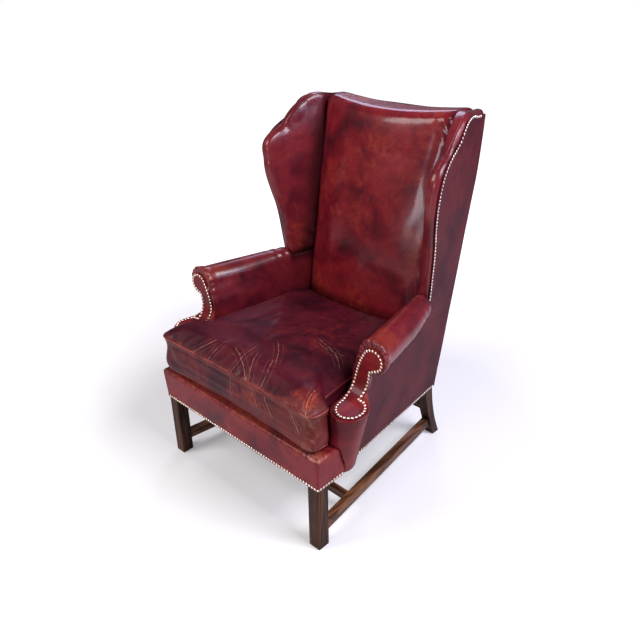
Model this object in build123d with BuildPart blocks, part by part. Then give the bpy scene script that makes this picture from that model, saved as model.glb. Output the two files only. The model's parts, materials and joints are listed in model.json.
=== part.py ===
from build123d import *
from math import asin, cos, radians, sin, tan
import os

os.makedirs("parts", exist_ok=True)

# Wingback chair on square front legs. Origin on the floor under the middle of the chair,
# +Z up, the sitter faces -Y, +X is to the right of someone who looks at the front.
# A size with _y in its name is measured back from the front face of the front legs, and one
# with _up in its name is measured up from the lower edge of the seat rails.

# Stance
front_face = -395  # Y of the front face of the front legs
leg_span = 700  # across the outer faces of the front legs
leg_height = 225  # floor to the lower edge of the seat rails
front_leg_size = 40
leg_bead = 4  # radius of the bead down the outer front corner
quirk = 1.4  # groove beside a bead
foot_chamfer = 1.5

# Seat frame
rail_height = 93
rail_thickness = 24
tenon_thickness = 9
tenon_height = 60
tenon_length = 18
tenon_shoulder = 2
fit = 0.15  # room round a tenon in its mortise
gap = 0.3  # room between upholstery and what it rests on
cover = 3  # leather over card on the outside
block_reach = 56
block_bottom_up = 15
block_height = 45

# Rear legs, seen from the side
rear_leg_x = 236  # inner face
rear_leg_width = 36
rear_block_y = 610  # front of the square block that takes the rails
rear_knee_y = 640  # front edge where the straight lower part starts
rear_knee_z = 110
rear_swell_y = 622
rear_swell_z = 175
rear_foot_front_y = 679
rear_calf_y = 665
rear_calf_z = 133
rear_foot_back_y = 712

# Stretchers
stretcher_width = 24
stretcher_bottom = 42
stretcher_height = 31
stretcher_bead = 4.5
cross_y = 165
cross_width = 22
cross_bottom = 50
cross_height = 23
cross_round = 3
rear_stretcher_y = 641
rear_stretcher_thickness = 17
rear_stretcher_bottom = 115
rear_stretcher_height = 28

# Outside back line: straight rake up to the shoulder, then an arc that ends upright
back_foot_y = 653.5
back_rake = 11.3
crest_height_up = 893
back_arc_rise = 235
post_depth = 34
post_width = 34
post_foot_x = 272
post_top_x = 281

# Outer side surface: plan lines at three heights, at the front and at the end of their run
side_mid_up = 335
side_over_crest = 22
side_run = 800
side_front_low = 347
side_front_mid = 405
side_front_high = 507
side_back_low = 263
side_back_mid = 266
side_back_high = 291
side_reach = 150  # how far the side solids run past that line before they are trimmed

# Crest rail and back tacking rail
crest_pad = 32
crest_rail_height = 60
tack_rail_up = 177
tack_rail_height = 45

# Arms
arm_y = 188
arm_mid_y = 340
wing_neck_y = 525
arm_top_up = 401
roll_radius = 47
roll_radius_back = 35
roll_x_front = 375
roll_x_mid = 343
roll_x_back = 300
arm_inner_front = 308
arm_inner_back = 257
inner_run_y = 590
inner_knee_up = 233
inner_swell = 4
inner_swell_share = 0.4  # where the inside face swells, across and up
inner_swell_rise_share = 0.55
roll_turn = 38  # degrees below level where the roll starts to turn in
roll_tuck = 70  # degrees below level where the roll meets the notch
notch_front_up = 309
notch_mid_up = 318
notch_back_up = 345
stump_depth = 42
stump_width = 24
stump_top_up = 320
arm_board = 22
arm_board_front_in = 332
arm_board_front_out = 394
arm_board_back_in = 255
arm_board_turn_y = 340
arm_wing_seat_up = 375  # the wing stands on the arm here

# Arm facing: a keyhole panel that bends forward onto the lobe over the arm front. Its angles
# are in degrees from +X round the lobe and the head
facing_thickness = 4
facing_lip = 5  # from the nail line to the panel's edge
lobe_x = 363
lobe_y = 118
lobe_radius = 40
lobe_front_up = 218
lobe_back_y = 150
lobe_back_up = 227
bend_y = 175
bend_up = 250
bend_radius = 60
head_x = 379
head_up = 346
head_radius = 31
neck_in_low_x = 320
neck_out_low_x = 359
neck_out_high_x = 369
neck_out_high_up = 306
neck_swell_x = 328
neck_swell_up = 305
head_turn = 149  # where the neck's inner side meets the head
head_end = -80  # where the neck's outer side meets the head
lobe_turn = 75  # where the neck's outer side meets the lobe
lobe_end = 170  # where the neck's inner side meets the lobe

# Arm front: a leaning cone below the lobe
cone_radius = 54
cone_foot_x = 303
cone_foot_y = 128
cone_side_turn = 42  # where the outer side leaves the round
border_side_y = 102  # where the front border ends on the side

# Wings. The padded outline seen from the side, from the arm up over the ear: shares of the
# way from the wing's front to its crest point, and of the way from the arm to the ear's top
wing_front_y = 483
wing_crest_y = 770
wing_over_crest = 19
wing_outline_shares = [
    (0.132, 0.119),
    (0.091, 0.317),
    (0.024, 0.466),
    (0, 0.605),
    (0.059, 0.75),
    (0.251, 0.849),
    (0.408, 0.899),
    (0.519, 0.965),
    (0.697, 1),
]
wing_crest_share = 0.981
wing_thickness = 42
wing_lip_y = 500
wing_roll = 15
seam_x = 254
seam_low_y = 603
seam_high_y = 692
wing_wood_inset = 24
wing_wood_width = 38
wing_wood_thickness = 18
wing_wood_cover = 6
wing_turn_share = 0.61  # the wing post ends here and the wing rail starts
wing_rail_rise = 46
rail_top_back_share = 0.3  # how far the wing rail's upper edge stands back for its depth
rail_low_back_share = 0.4
wing_nail_inset = 13

# Inside back: half plan sections at heights
back_pad_bottom_up = 116
back_seam_low_y = 568
back_seam_high_y = 694
back_crown_low = 12
back_crown_mid = 52
back_crown_high = 18
crown_mid_up = 475
crown_welt_share = 0.45  # of the way from the low crown to the full one, at the cushion's welt
crown_crest_share = 0.35  # of the way from the high crown to the full one, at the crest rail
crest_dip = 17
crest_end_over = 15
crest_front_round = 24

webbing_room = 5  # webbing and hessian between the back frame and the pad

# Front border and seat deck
border_pad = 3
border_flare = 8
border_top_up = 109
border_corner = 6
border_round = 10
deck_top_up = 115
deck_bottom_up = 79
hessian = 1.5
strap = 2
strap_width = 50
strap_pitch = 75
strap_hold = 16
dust_cover_thickness = 1

# Seat springs
spring_rows = 3
spring_radius = 36
spring_wire = 3.6
spring_turns = 4
spring_pitch = 150
spring_centre_y = 330

# Cushion
cushion_front_y = -13
cushion_ear_x = 346
cushion_ear_back_y = 58
cushion_neck_x = 302
cushion_neck_y = 68
cushion_back_x = 255
cushion_back_y = 556
cushion_welt_up = 241
cushion_crown = 32
cushion_draw = 5
cushion_foot_inset = 9
cushion_corner = 24
cushion_skin = 2.5
cushion_draw_shares = [(0, 0, 1), (0.15, 0.5, 0), (0.55, 1, 0)]  # up, drawn in, foot
cushion_crown_shares = [(0.5, 0.92), (0.88, 0.72), (1, 0.42)]  # of the crown's rise, of the plan

# Nails
nail_radius = 3.9
nail_dome = 2.2
nail_pitch = 11
nail_lift = 0.15
nail_edge = 5

over = 5  # cutters run past what they cut

# Derived places
block_bottom = leg_height + block_bottom_up
side_mid_z = leg_height + side_mid_up
crest_height = leg_height + crest_height_up
tack_rail_z = leg_height + tack_rail_up
arm_top = leg_height + arm_top_up
inner_knee_z = leg_height + inner_knee_up
notch_front_z = leg_height + notch_front_up
notch_mid_z = leg_height + notch_mid_up
notch_back_z = leg_height + notch_back_up
stump_top = leg_height + stump_top_up
arm_wing_seat = leg_height + arm_wing_seat_up
lobe_front_z = leg_height + lobe_front_up
lobe_back_z = leg_height + lobe_back_up
bend_z = leg_height + bend_up
head_z = leg_height + head_up
neck_out_high_z = leg_height + neck_out_high_up
neck_swell_z = leg_height + neck_swell_up
back_pad_bottom = leg_height + back_pad_bottom_up
crown_mid_z = leg_height + crown_mid_up
border_top = leg_height + border_top_up
deck_top = leg_height + deck_top_up
deck_bottom = leg_height + deck_bottom_up
cushion_welt_z = leg_height + cushion_welt_up
side_high_z = crest_height + side_over_crest
wing_top = crest_height + wing_over_crest
crest_end_z = crest_height + crest_end_over
rail_top = leg_height + rail_height
leg_out = leg_span / 2
leg_in = leg_out - front_leg_size
foot_y = front_face + back_foot_y
shoulder_z = crest_height - back_arc_rise
back_arc = back_arc_rise / sin(radians(back_rake))
shoulder_y = foot_y + (shoulder_z - leg_height) * tan(radians(back_rake))
back_top_y = shoulder_y + back_arc * (1 - cos(radians(back_rake)))
crest_rail_top = crest_height - crest_pad
crest_rail_bottom = crest_rail_top - crest_rail_height
wide = leg_span  # half width of cutters that span the chair


def yy(y):
    """Y in the chair's frame of a size measured back from the front legs."""
    return front_face + y


def mix(a, b, share):
    return a + (b - a) * share


def back_y(z):
    """Y of the outside back at a height."""
    if z <= shoulder_z:
        return foot_y + (z - leg_height) * tan(radians(back_rake))
    turn = asin(max(-1, min(1, (crest_height - z) / back_arc)))
    return back_top_y - back_arc * (1 - cos(turn))


def back_edge(low, high, ahead):
    """Edges up the outside back line, moved forward; called inside a BuildLine."""
    if low < shoulder_z:
        turn = min(high, shoulder_z)
        Line((back_y(low) - ahead, low), (back_y(turn) - ahead, turn))
    if high > shoulder_z:
        first = max(low, shoulder_z)
        middle = mix(first, high, 0.5)
        ThreePointArc(
            (back_y(first) - ahead, first),
            (back_y(middle) - ahead, middle),
            (back_y(high) - ahead, high),
        )


def side_line(z):
    """X of the outer side surface at both ends of its run."""
    if z <= side_mid_z:
        share = (z - leg_height) / (side_mid_z - leg_height)
        return mix(side_front_low, side_front_mid, share), mix(side_back_low, side_back_mid, share)
    share = (z - side_mid_z) / (side_high_z - side_mid_z)
    return mix(side_front_mid, side_front_high, share), mix(side_back_mid, side_back_high, share)


def side_x(y, z):
    """X of the outer side surface."""
    front, back = side_line(z)
    return mix(front, back, (y - front_face) / side_run)


def rail_x(y):
    """X of the side rail's outer face."""
    return side_x(y, leg_height) - cover


def inner_x(y):
    """X of the inside arm face at seat level."""
    share = (y - yy(arm_y)) / (inner_run_y - arm_y)
    return mix(arm_inner_front, arm_inner_back, share)


def seam_y(z):
    """Y of the seam between wing and inside back."""
    share = (z - side_mid_z) / (side_high_z - side_mid_z)
    return yy(mix(seam_low_y, seam_high_y, share))


def wing_inner_x(y, z):
    """X of the wing's inside face."""
    lip = side_x(yy(wing_lip_y), z) - wing_thickness
    share = (y - yy(wing_lip_y)) / (seam_y(z) - yy(wing_lip_y))
    return mix(lip, seam_x, share)


def plan_slab(start, end, stations):
    """Ruled solid through four-sided plans: z, inner and outer x at the front, then at the back."""
    quads = []
    for z, inner_front, outer_front, inner_back, outer_back in stations:
        with BuildSketch(Plane.XY.offset(z)) as quad:
            with BuildLine():
                Polyline(
                    (inner_front, start),
                    (outer_front, start),
                    (outer_back, end),
                    (inner_back, end),
                    close=True,
                )
            make_face()
        quads.append(quad.sketch)
    with BuildPart() as slab:
        loft(sections=quads, ruled=True)
    return slab.part


def side_slab(inset, thickness):
    """The solid between two copies of the outer side surface, moved in."""
    start = front_face - side_reach
    end = front_face + side_run + side_reach
    stations = []
    for z in (leg_height, side_mid_z, side_high_z):
        front = side_x(start, z) - inset
        back = side_x(end, z) - inset
        stations.append((z, front - thickness, front, back - thickness, back))
    return plan_slab(start, end, stations)


def side_bar(start, end, inset, width, low, high):
    """A bar along the lower side line, its outer face set in from the outer surface."""
    start_x = side_x(start, leg_height) - inset
    end_x = side_x(end, leg_height) - inset
    with BuildPart() as bar:
        with BuildSketch(Plane.XY.offset(low)):
            with BuildLine():
                Polyline(
                    (start_x, start),
                    (end_x, end),
                    (end_x - width, end),
                    (start_x - width, start),
                    close=True,
                )
            make_face()
        extrude(amount=high - low)
    return bar.part


def beaded_rectangle(width, height, bead, bead_side):
    """A rectangle with a quirked bead on its outer corner; called inside a BuildSketch."""
    out = width / 2
    up = height / 2 * bead_side
    Rectangle(width, height)
    with Locations((out - bead / 2, up - bead / 2 * bead_side)):
        Rectangle(bead, bead, mode=Mode.SUBTRACT)
    with Locations((out - bead, up - bead * bead_side)):
        Circle(bead)
    with Locations(
        (out - 2 * bead - quirk / 2, up - quirk / 2 * bead_side),
        (out - quirk / 2, up - (2 * bead + quirk / 2) * bead_side),
    ):
        Rectangle(quirk, quirk, mode=Mode.SUBTRACT)


def side_prism(points, low, high):
    """A polygon in the side view, run across from one x to another."""
    with BuildPart() as prism:
        with BuildSketch(Plane.YZ.offset(low)):
            with BuildLine():
                Polyline(*points, close=True)
            make_face()
        extrude(amount=high - low)
    return prism.part


def keep(part, name):
    """Label a finished piece and write it."""
    part.label = name
    export_step(part, "parts/" + name + ".step")


def keep_pair(part, name):
    """Write a right-hand piece and its mirror twin."""
    keep(part, name + "_right")
    with BuildPart() as twin:
        mirror(part, about=Plane.YZ)
    keep(twin.part, name + "_left")


# Tenons, as boxes that their mortises follow
leg_back = front_face + front_leg_size
rear_leg_front = yy(rear_block_y)
tenon_low = leg_height + (rail_height - tenon_height) / 2
tenon_high = tenon_low + tenon_height
front_tenon_y = front_face + (rail_thickness - tenon_thickness) / 2
side_tenon_inset = cover + rail_thickness - tenon_shoulder - tenon_thickness
rear_rail_front = foot_y - cover - rail_thickness
rear_tenon_y = rear_rail_front + (rail_thickness - tenon_thickness) / 2


def cross_tenon(start, room, y, end):
    """A tenon that runs across, from an x inside the rail to its end in the leg."""
    with BuildPart() as tenon:
        with BuildSketch(Plane.YZ.offset(start)):
            with Locations((y + tenon_thickness / 2, (tenon_low + tenon_high) / 2)):
                Rectangle(tenon_thickness + 2 * room, tenon_height + 2 * room)
        extrude(amount=end + room - start)
    return tenon.part


def side_tenons(room):
    """One bar that makes both tenons of a side rail."""
    return side_bar(
        leg_back - tenon_length - room,
        rear_leg_front + tenon_length + room,
        side_tenon_inset - room,
        tenon_thickness + 2 * room,
        tenon_low - room,
        tenon_high + room,
    )


# Front legs
with BuildPart() as front_leg:
    leg_middle = (leg_out - front_leg_size / 2, front_face + front_leg_size / 2)
    with BuildSketch(Plane(origin=(*leg_middle, 0))):
        beaded_rectangle(front_leg_size, front_leg_size, leg_bead, -1)
    extrude(amount=rail_top)
    chamfer(front_leg.faces().sort_by(Axis.Z)[0].outer_wire().edges(), foot_chamfer)
    add(cross_tenon(leg_in - over, fit, front_tenon_y, leg_in + tenon_length), mode=Mode.SUBTRACT)
    add(side_tenons(fit), mode=Mode.SUBTRACT)
keep_pair(front_leg.part, "front_leg")

# Rear legs
with BuildPart() as rear_leg:
    with BuildSketch(Plane.YZ.offset(rear_leg_x)):
        with BuildLine():
            Line((rear_leg_front, rail_top), (rear_leg_front, leg_height))
            ThreePointArc(
                (rear_leg_front, leg_height),
                (yy(rear_swell_y), rear_swell_z),
                (yy(rear_knee_y), rear_knee_z),
            )
            Line((yy(rear_knee_y), rear_knee_z), (yy(rear_foot_front_y), 0))
            Line((yy(rear_foot_front_y), 0), (yy(rear_foot_back_y), 0))
            ThreePointArc(
                (yy(rear_foot_back_y), 0),
                (yy(rear_calf_y), rear_calf_z),
                (foot_y - cover, leg_height),
            )
            back_edge(leg_height, rail_top, cover)
            Line((back_y(rail_top) - cover, rail_top), (rear_leg_front, rail_top))
        make_face()
    extrude(amount=rear_leg_width)
    add(side_tenons(fit), mode=Mode.SUBTRACT)
    add(
        cross_tenon(rear_leg_x - over, fit, rear_tenon_y, rear_leg_x + tenon_length),
        mode=Mode.SUBTRACT,
    )
keep_pair(rear_leg.part, "rear_leg")

# Side stretchers, on the line between the middles of the legs
rear_leg_middle = rear_leg_x + rear_leg_width / 2
stretcher_slope = (rear_leg_middle - leg_middle[0]) / (yy(rear_knee_y) - leg_middle[1])


def stretcher_x(y, aside):
    """X of a line along the side stretcher."""
    return leg_middle[0] + (y - leg_middle[1]) * stretcher_slope + aside


with BuildPart() as side_stretcher:
    start = front_face
    stretcher_plane = Plane(
        origin=(stretcher_x(start, 0), start, stretcher_bottom + stretcher_height / 2),
        x_dir=(1, -stretcher_slope, 0),
        z_dir=(-stretcher_slope, -1, 0),
    )
    with BuildSketch(stretcher_plane):
        beaded_rectangle(stretcher_width, stretcher_height, stretcher_bead, 1)
    extrude(amount=-(yy(rear_foot_back_y) - start))
    with Locations((0, leg_back - wide, 0)):
        Box(2 * wide, 2 * wide, 2 * wide, mode=Mode.SUBTRACT)
    foot_slope = (rear_foot_front_y - rear_knee_y) / rear_knee_z
    behind_leg = [
        (yy(rear_knee_y), rear_knee_z),
        (yy(rear_foot_front_y), 0),
        (yy(rear_foot_back_y) + wide, 0),
        (yy(rear_foot_back_y) + wide, rear_knee_z),
    ]
    add(side_prism(behind_leg, 0, wide), mode=Mode.SUBTRACT)
keep_pair(side_stretcher.part, "side_stretcher")

# Cross stretcher, cut to the side stretchers' inner faces
with BuildPart() as cross_stretcher:
    cross_front = yy(cross_y)
    cross_back = cross_front + cross_width
    stretcher_half = stretcher_width / 2 * (1 + stretcher_slope**2) ** 0.5
    front_end = stretcher_x(cross_front, -stretcher_half)
    back_end = stretcher_x(cross_back, -stretcher_half)
    with BuildSketch(Plane.XY.offset(cross_bottom)):
        with BuildLine():
            Polyline(
                (-front_end, cross_front),
                (front_end, cross_front),
                (back_end, cross_back),
                (-back_end, cross_back),
                close=True,
            )
        make_face()
    extrude(amount=cross_height)
    fillet(cross_stretcher.faces().sort_by(Axis.Z)[-1].edges().filter_by(Axis.X), cross_round)
keep(cross_stretcher.part, "cross_stretcher")

# Rear stretcher between the rear legs
with BuildPart() as rear_stretcher:
    with BuildSketch(Plane.YZ.offset(-rear_leg_x)):
        with Locations(
            (
                yy(rear_stretcher_y) + rear_stretcher_thickness / 2,
                rear_stretcher_bottom + rear_stretcher_height / 2,
            )
        ):
            Rectangle(rear_stretcher_thickness, rear_stretcher_height)
    extrude(amount=2 * rear_leg_x)
    fillet(rear_stretcher.faces().sort_by(Axis.Z)[-1].edges().filter_by(Axis.X), cross_round)
keep(rear_stretcher.part, "rear_stretcher")

# Seat rails with their tenons
with BuildPart() as front_rail:
    with BuildSketch(Plane.YZ.offset(-leg_in)):
        with Locations((front_face + rail_thickness / 2, leg_height + rail_height / 2)):
            Rectangle(rail_thickness, rail_height)
    extrude(amount=2 * leg_in)
    add(cross_tenon(-leg_in - tenon_length, 0, front_tenon_y, leg_in + tenon_length))
keep(front_rail.part, "front_rail")

with BuildPart() as side_rail:
    add(side_bar(leg_back, rear_leg_front, cover, rail_thickness, leg_height, rail_top))
    add(side_tenons(0))
keep_pair(side_rail.part, "side_rail")

with BuildPart() as rear_rail:
    with BuildSketch(Plane.YZ.offset(-rear_leg_x)):
        with BuildLine():
            Line((rear_rail_front, rail_top), (rear_rail_front, leg_height))
            Line((rear_rail_front, leg_height), (foot_y - cover, leg_height))
            back_edge(leg_height, rail_top, cover)
            Line((back_y(rail_top) - cover, rail_top), (rear_rail_front, rail_top))
        make_face()
    extrude(amount=2 * rear_leg_x)
    add(cross_tenon(-rear_leg_x - tenon_length, 0, rear_tenon_y, rear_leg_x + tenon_length))
keep(rear_rail.part, "rear_rail")

# Glued blocks in the four corners of the seat frame
front_block_back = leg_back + block_reach
rear_block_front = rear_leg_front - block_reach
with BuildPart() as front_blocks:
    with BuildSketch(Plane.XY.offset(block_bottom)):
        with BuildLine():
            Polyline(
                (leg_in, front_face + rail_thickness),
                (leg_in - block_reach, front_face + rail_thickness),
                (rail_x(front_block_back) - rail_thickness, front_block_back),
                (rail_x(leg_back) - rail_thickness, leg_back),
                (leg_in, leg_back),
                close=True,
            )
        make_face()
        with BuildLine():
            Polyline(
                (rail_x(rear_leg_front) - rail_thickness, rear_leg_front),
                (rear_leg_x, rear_leg_front),
                (rear_leg_x, rear_rail_front),
                (rear_leg_x - block_reach, rear_rail_front),
                (rail_x(rear_block_front) - rail_thickness, rear_block_front),
                close=True,
            )
        make_face()
    extrude(amount=block_height)
with BuildPart() as corner_blocks:
    add(front_blocks.part)
    mirror(front_blocks.part, about=Plane.YZ)
keep(corner_blocks.part, "corner_blocks")

# Back posts, spliced on to the rear legs
with BuildPart() as back_post:
    with BuildSketch(Plane.YZ.offset(rear_leg_x - over)):
        with BuildLine():
            back_edge(rail_top, crest_rail_bottom, cover)
            Line(
                (back_y(crest_rail_bottom) - cover, crest_rail_bottom),
                (back_y(crest_rail_bottom) - cover - post_depth, crest_rail_bottom),
            )
            back_edge(rail_top, crest_rail_bottom, cover + post_depth)
            Line(
                (back_y(rail_top) - cover - post_depth, rail_top),
                (back_y(rail_top) - cover, rail_top),
            )
        make_face()
    extrude(amount=post_top_x - rear_leg_x + 2 * over)
    with BuildSketch(Plane.XZ):
        with BuildLine():
            Polyline(
                (post_foot_x - post_width, rail_top),
                (post_foot_x, rail_top),
                (post_top_x, crest_rail_top),
                (post_top_x - post_width, crest_rail_top),
                close=True,
            )
        make_face()
    extrude(amount=wide, both=True, mode=Mode.INTERSECT)
keep_pair(back_post.part, "back_post")


def post_in(z):
    """X of the back post's inner face."""
    share = (z - rail_top) / (crest_rail_top - rail_top)
    return mix(post_foot_x, post_top_x, share) - post_width


def back_board(low, high, front_add, back_add):
    """A board that follows the outside back line, the chair's whole width."""
    with BuildPart() as board:
        with BuildSketch(Plane.YZ.offset(-wide)):
            with BuildLine():
                back_edge(low, high, cover - back_add)
                Line(
                    (back_y(high) - cover + back_add, high),
                    (back_y(high) - cover - post_depth - front_add, high),
                )
                back_edge(low, high, cover + post_depth + front_add)
                Line(
                    (back_y(low) - cover - post_depth - front_add, low),
                    (back_y(low) - cover + back_add, low),
                )
            make_face()
        extrude(amount=2 * wide)
    return board.part


with BuildPart() as crest_rail:
    add(back_board(crest_rail_bottom, crest_rail_top, 0, 0))
    with Locations((0, 0, crest_height)):
        Box(2 * post_top_x, 2 * wide, 2 * crest_height, mode=Mode.INTERSECT)
keep(crest_rail.part, "crest_rail")

tack_rail_top = tack_rail_z + tack_rail_height
with BuildPart() as tack_rail:
    add(back_board(tack_rail_z, tack_rail_top, 0, 0))
    with BuildSketch(Plane.XZ):
        with BuildLine():
            Polyline(
                (-post_in(tack_rail_z), tack_rail_z),
                (post_in(tack_rail_z), tack_rail_z),
                (post_in(tack_rail_top), tack_rail_top),
                (-post_in(tack_rail_top), tack_rail_top),
                close=True,
            )
        make_face()
    extrude(amount=wide, both=True, mode=Mode.INTERSECT)
keep(tack_rail.part, "back_tacking_rail")

# Arm stumps: boards that lean out from the side rail to the arm
stump_front = yy(arm_y) + facing_thickness
stump_back = stump_front + stump_depth


def stump_solid(room):
    """The arm stump, with room all round for the pad's pocket."""
    foot_out = side_x(stump_back, rail_top) - cover - gap + room
    top_out = side_x(stump_back, stump_top) - cover - gap + room
    width = stump_width + 2 * room
    with BuildPart() as stump:
        with BuildSketch(Plane.XZ.offset(-stump_back - room)):
            with BuildLine():
                Polyline(
                    (foot_out - width, rail_top),
                    (foot_out, rail_top),
                    (top_out, stump_top + room),
                    (top_out - width, stump_top + room),
                    close=True,
                )
            make_face()
        extrude(amount=stump_depth + 2 * room)
    return stump.part


keep_pair(stump_solid(0), "arm_stump")

# Arm rails: boards from the stump to the back post
arm_rail_top = stump_top + arm_board
arm_rail_end = back_y(stump_top) - cover - post_depth


def arm_rail_solid(room):
    """The arm rail, with room all round for the pad's pocket."""
    turn = yy(arm_board_turn_y)
    with BuildPart() as rail:
        with BuildSketch(Plane.XY.offset(stump_top - room)):
            with BuildLine():
                Polyline(
                    (arm_board_front_in - room, stump_front - room),
                    (arm_board_front_out + room, stump_front - room),
                    (side_x(turn, stump_top) - cover - gap + room, turn),
                    (side_x(arm_rail_end, stump_top) - cover - gap + room, arm_rail_end),
                    (arm_board_back_in - room, arm_rail_end),
                    close=True,
                )
            make_face()
        extrude(amount=arm_board + 2 * room)
    return rail.part


keep_pair(arm_rail_solid(0), "arm_rail")

# Wing posts and wing rails, sawn to follow the wing's outline
wing_edge = [
    (mix(wing_front_y, wing_crest_y, share), mix(arm_wing_seat, wing_top, rise_share))
    for share, rise_share in wing_outline_shares
]
wing_crest = (yy(wing_crest_y), mix(arm_wing_seat, wing_top, wing_crest_share))
wing_turn_z = mix(arm_wing_seat, wing_top, wing_turn_share)
post_points = [point for point in wing_edge if point[1] <= wing_turn_z]
rail_points = [point for point in wing_edge if point[1] > wing_turn_z]


def wing_post_solid(room):
    """The wing post, with room all round for the pad's pocket."""
    front = [(yy(y + wing_wood_inset) - room, z) for y, z in post_points]
    back = [(yy(y + wing_wood_inset + wing_wood_width) + room, z) for y, z in post_points]
    front.insert(0, (front[0][0], arm_rail_top))
    back.insert(0, (back[0][0], arm_rail_top))
    front[-1] = (front[-1][0], wing_turn_z + room)
    back[-1] = (back[-1][0], wing_turn_z + room)
    with BuildPart() as post:
        add(side_slab(cover + wing_wood_cover - room, wing_wood_thickness + 2 * room))
        add(side_prism(front + back[::-1], 0, wide), mode=Mode.INTERSECT)
    return post.part


def wing_rail_solid(room):
    """The wing rail, from the top of the wing post back to the back post."""
    lift = wing_wood_inset - room
    top = [(yy(y) + lift * rail_top_back_share, z - lift) for y, z in rail_points]
    top_z = top[-1][1]
    start = yy(post_points[-1][0] + wing_wood_inset) - room
    fall = wing_rail_rise + 2 * room
    end_y = back_y(top_z - fall) - cover - post_depth + 2 * room
    bottom = [(end_y, top_z - fall)]
    bottom += [(y + fall * rail_low_back_share, z - fall) for y, z in top[-2:0:-1]]
    bottom.append((start + wing_wood_width + 2 * room, wing_turn_z - room))
    outline = [(start, wing_turn_z - room)] + top + [(end_y, top_z)] + bottom
    with BuildPart() as rail:
        add(side_slab(cover + wing_wood_cover - room, wing_wood_thickness + 2 * room))
        add(side_prism(outline, 0, wide), mode=Mode.INTERSECT)
    return rail.part


keep_pair(wing_post_solid(0), "wing_post")
keep_pair(wing_rail_solid(0), "wing_rail")


def rail_inside(y, room):
    """X just inside the side rail."""
    return rail_x(y) - rail_thickness - room


# Seat webbing: straps under the rails, one layer over the other
strap_count = int(2 * rail_inside(rear_rail_front, 0) // strap_pitch)
row_count = int((rear_rail_front - leg_back) // strap_pitch)
with BuildPart() as seat_webbing:
    long_front = front_face + rail_thickness - strap_hold
    long_back = rear_rail_front + strap_hold
    with Locations((0, mix(long_front, long_back, 0.5), leg_height - strap / 2)):
        with GridLocations(strap_pitch, 0, strap_count, 1):
            Box(strap_width, long_back - long_front, strap)
    for row in range(row_count):
        y = mix(leg_back, rear_rail_front, (row + 0.5) / row_count)
        with Locations((0, y, leg_height - 1.5 * strap)):
            Box(2 * (rail_inside(y, 0) + strap_hold), strap_width, strap)
keep(seat_webbing.part, "seat_webbing")

# Dust cover under the seat
dust_top = leg_height - 2 * strap - gap
with BuildPart() as dust_cover:
    dust_front = front_face + rail_thickness / 2
    dust_back = foot_y - cover - rail_thickness / 2
    with BuildSketch(Plane.XY.offset(dust_top - dust_cover_thickness)):
        with BuildLine():
            Polyline(
                (-leg_in, dust_front),
                (leg_in, dust_front),
                (leg_in, leg_back),
                (rail_inside(leg_back, -strap_hold), leg_back),
                (rail_inside(rear_leg_front, -strap_hold), rear_leg_front),
                (rear_leg_x, rear_leg_front),
                (rear_leg_x, dust_back),
                (-rear_leg_x, dust_back),
                (-rear_leg_x, rear_leg_front),
                (-rail_inside(rear_leg_front, -strap_hold), rear_leg_front),
                (-rail_inside(leg_back, -strap_hold), leg_back),
                (-leg_in, leg_back),
                close=True,
            )
        make_face()
    extrude(amount=dust_cover_thickness)
keep(dust_cover.part, "dust_cover")

# Seat springs: coils standing on the webbing, under the hessian
hessian_bottom = deck_bottom - hessian - gap
spring_low = leg_height + gap + spring_wire / 2
spring_rise = hessian_bottom - gap - spring_wire / 2 - spring_low
with BuildPart() as one_spring:
    with BuildLine() as coil:
        Helix(
            pitch=spring_rise / spring_turns,
            height=spring_rise,
            radius=spring_radius,
            center=(0, yy(spring_centre_y), spring_low),
        )
    with BuildSketch(Plane(origin=coil.edges()[0] @ 0, z_dir=coil.edges()[0] % 0)):
        Circle(spring_wire / 2)
    sweep(path=coil.edges()[0], is_frenet=True)
with BuildPart() as seat_springs:
    with GridLocations(spring_pitch, spring_pitch, spring_rows, spring_rows):
        add(one_spring.part)
keep(seat_springs.part, "seat_springs")


def seat_sheet(start, end, low, high, clear):
    """A flat layer between the side rails, a little clear of them."""
    with BuildPart() as sheet:
        with BuildSketch(Plane.XY.offset(low)):
            with BuildLine():
                Polyline(
                    (-rail_inside(start, clear), start),
                    (rail_inside(start, clear), start),
                    (rail_inside(end, clear), end),
                    (-rail_inside(end, clear), end),
                    close=True,
                )
            make_face()
        extrude(amount=high - low)
    return sheet.part


sheet_end = rear_leg_front - gap
deck_start = yy(border_side_y) + gap
hessian_start = leg_back + gap
keep(seat_sheet(hessian_start, sheet_end, hessian_bottom, deck_bottom - gap, gap), "spring_hessian")
keep(seat_sheet(deck_start, sheet_end, deck_bottom, deck_top, gap), "seat_deck")
deck_room = seat_sheet(deck_start - gap, sheet_end + gap, deck_bottom, deck_top + gap, 0)

# Front border: leather over padding, turned over the rail and round both corners
with BuildPart() as front_border:
    border_end = yy(border_side_y)
    for z, proud in ((leg_height, border_pad), (border_top, border_flare)):
        half = leg_out + proud
        with BuildSketch(Plane.XY.offset(z)):
            with Locations((0, mix(front_face - proud, border_end, 0.5))):
                Rectangle(2 * half, border_end - front_face + proud)
    loft(ruled=True)
    upright = front_border.edges().filter_by(lambda edge: abs(edge.tangent_at(0.5).Z) > 0.9)
    fillet(upright.group_by(Axis.Y)[0], border_corner)
    rim = front_border.faces().sort_by(Axis.Z)[-1].edges()
    fillet(rim.filter_by(lambda edge: edge.center().Y < border_end - over), border_round)
    with Locations((0, front_face + wide / 2, rail_top - wide / 2)):
        Box(leg_span, wide, wide, mode=Mode.SUBTRACT)
keep(front_border.part, "front_border")


def border_room(room):
    """The space that the front border and the seat frame take up under an arm front."""
    with BuildPart() as space:
        half = leg_out + border_flare + room
        block_y = yy(border_side_y) + room - wide / 2
        with Locations((half / 2, block_y, border_top + room - wide / 2)):
            Box(half, wide, wide)
        add(side_bar(front_face, rear_leg_front, cover - room, wide, 0, rail_top + room))
    return space.part


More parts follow.
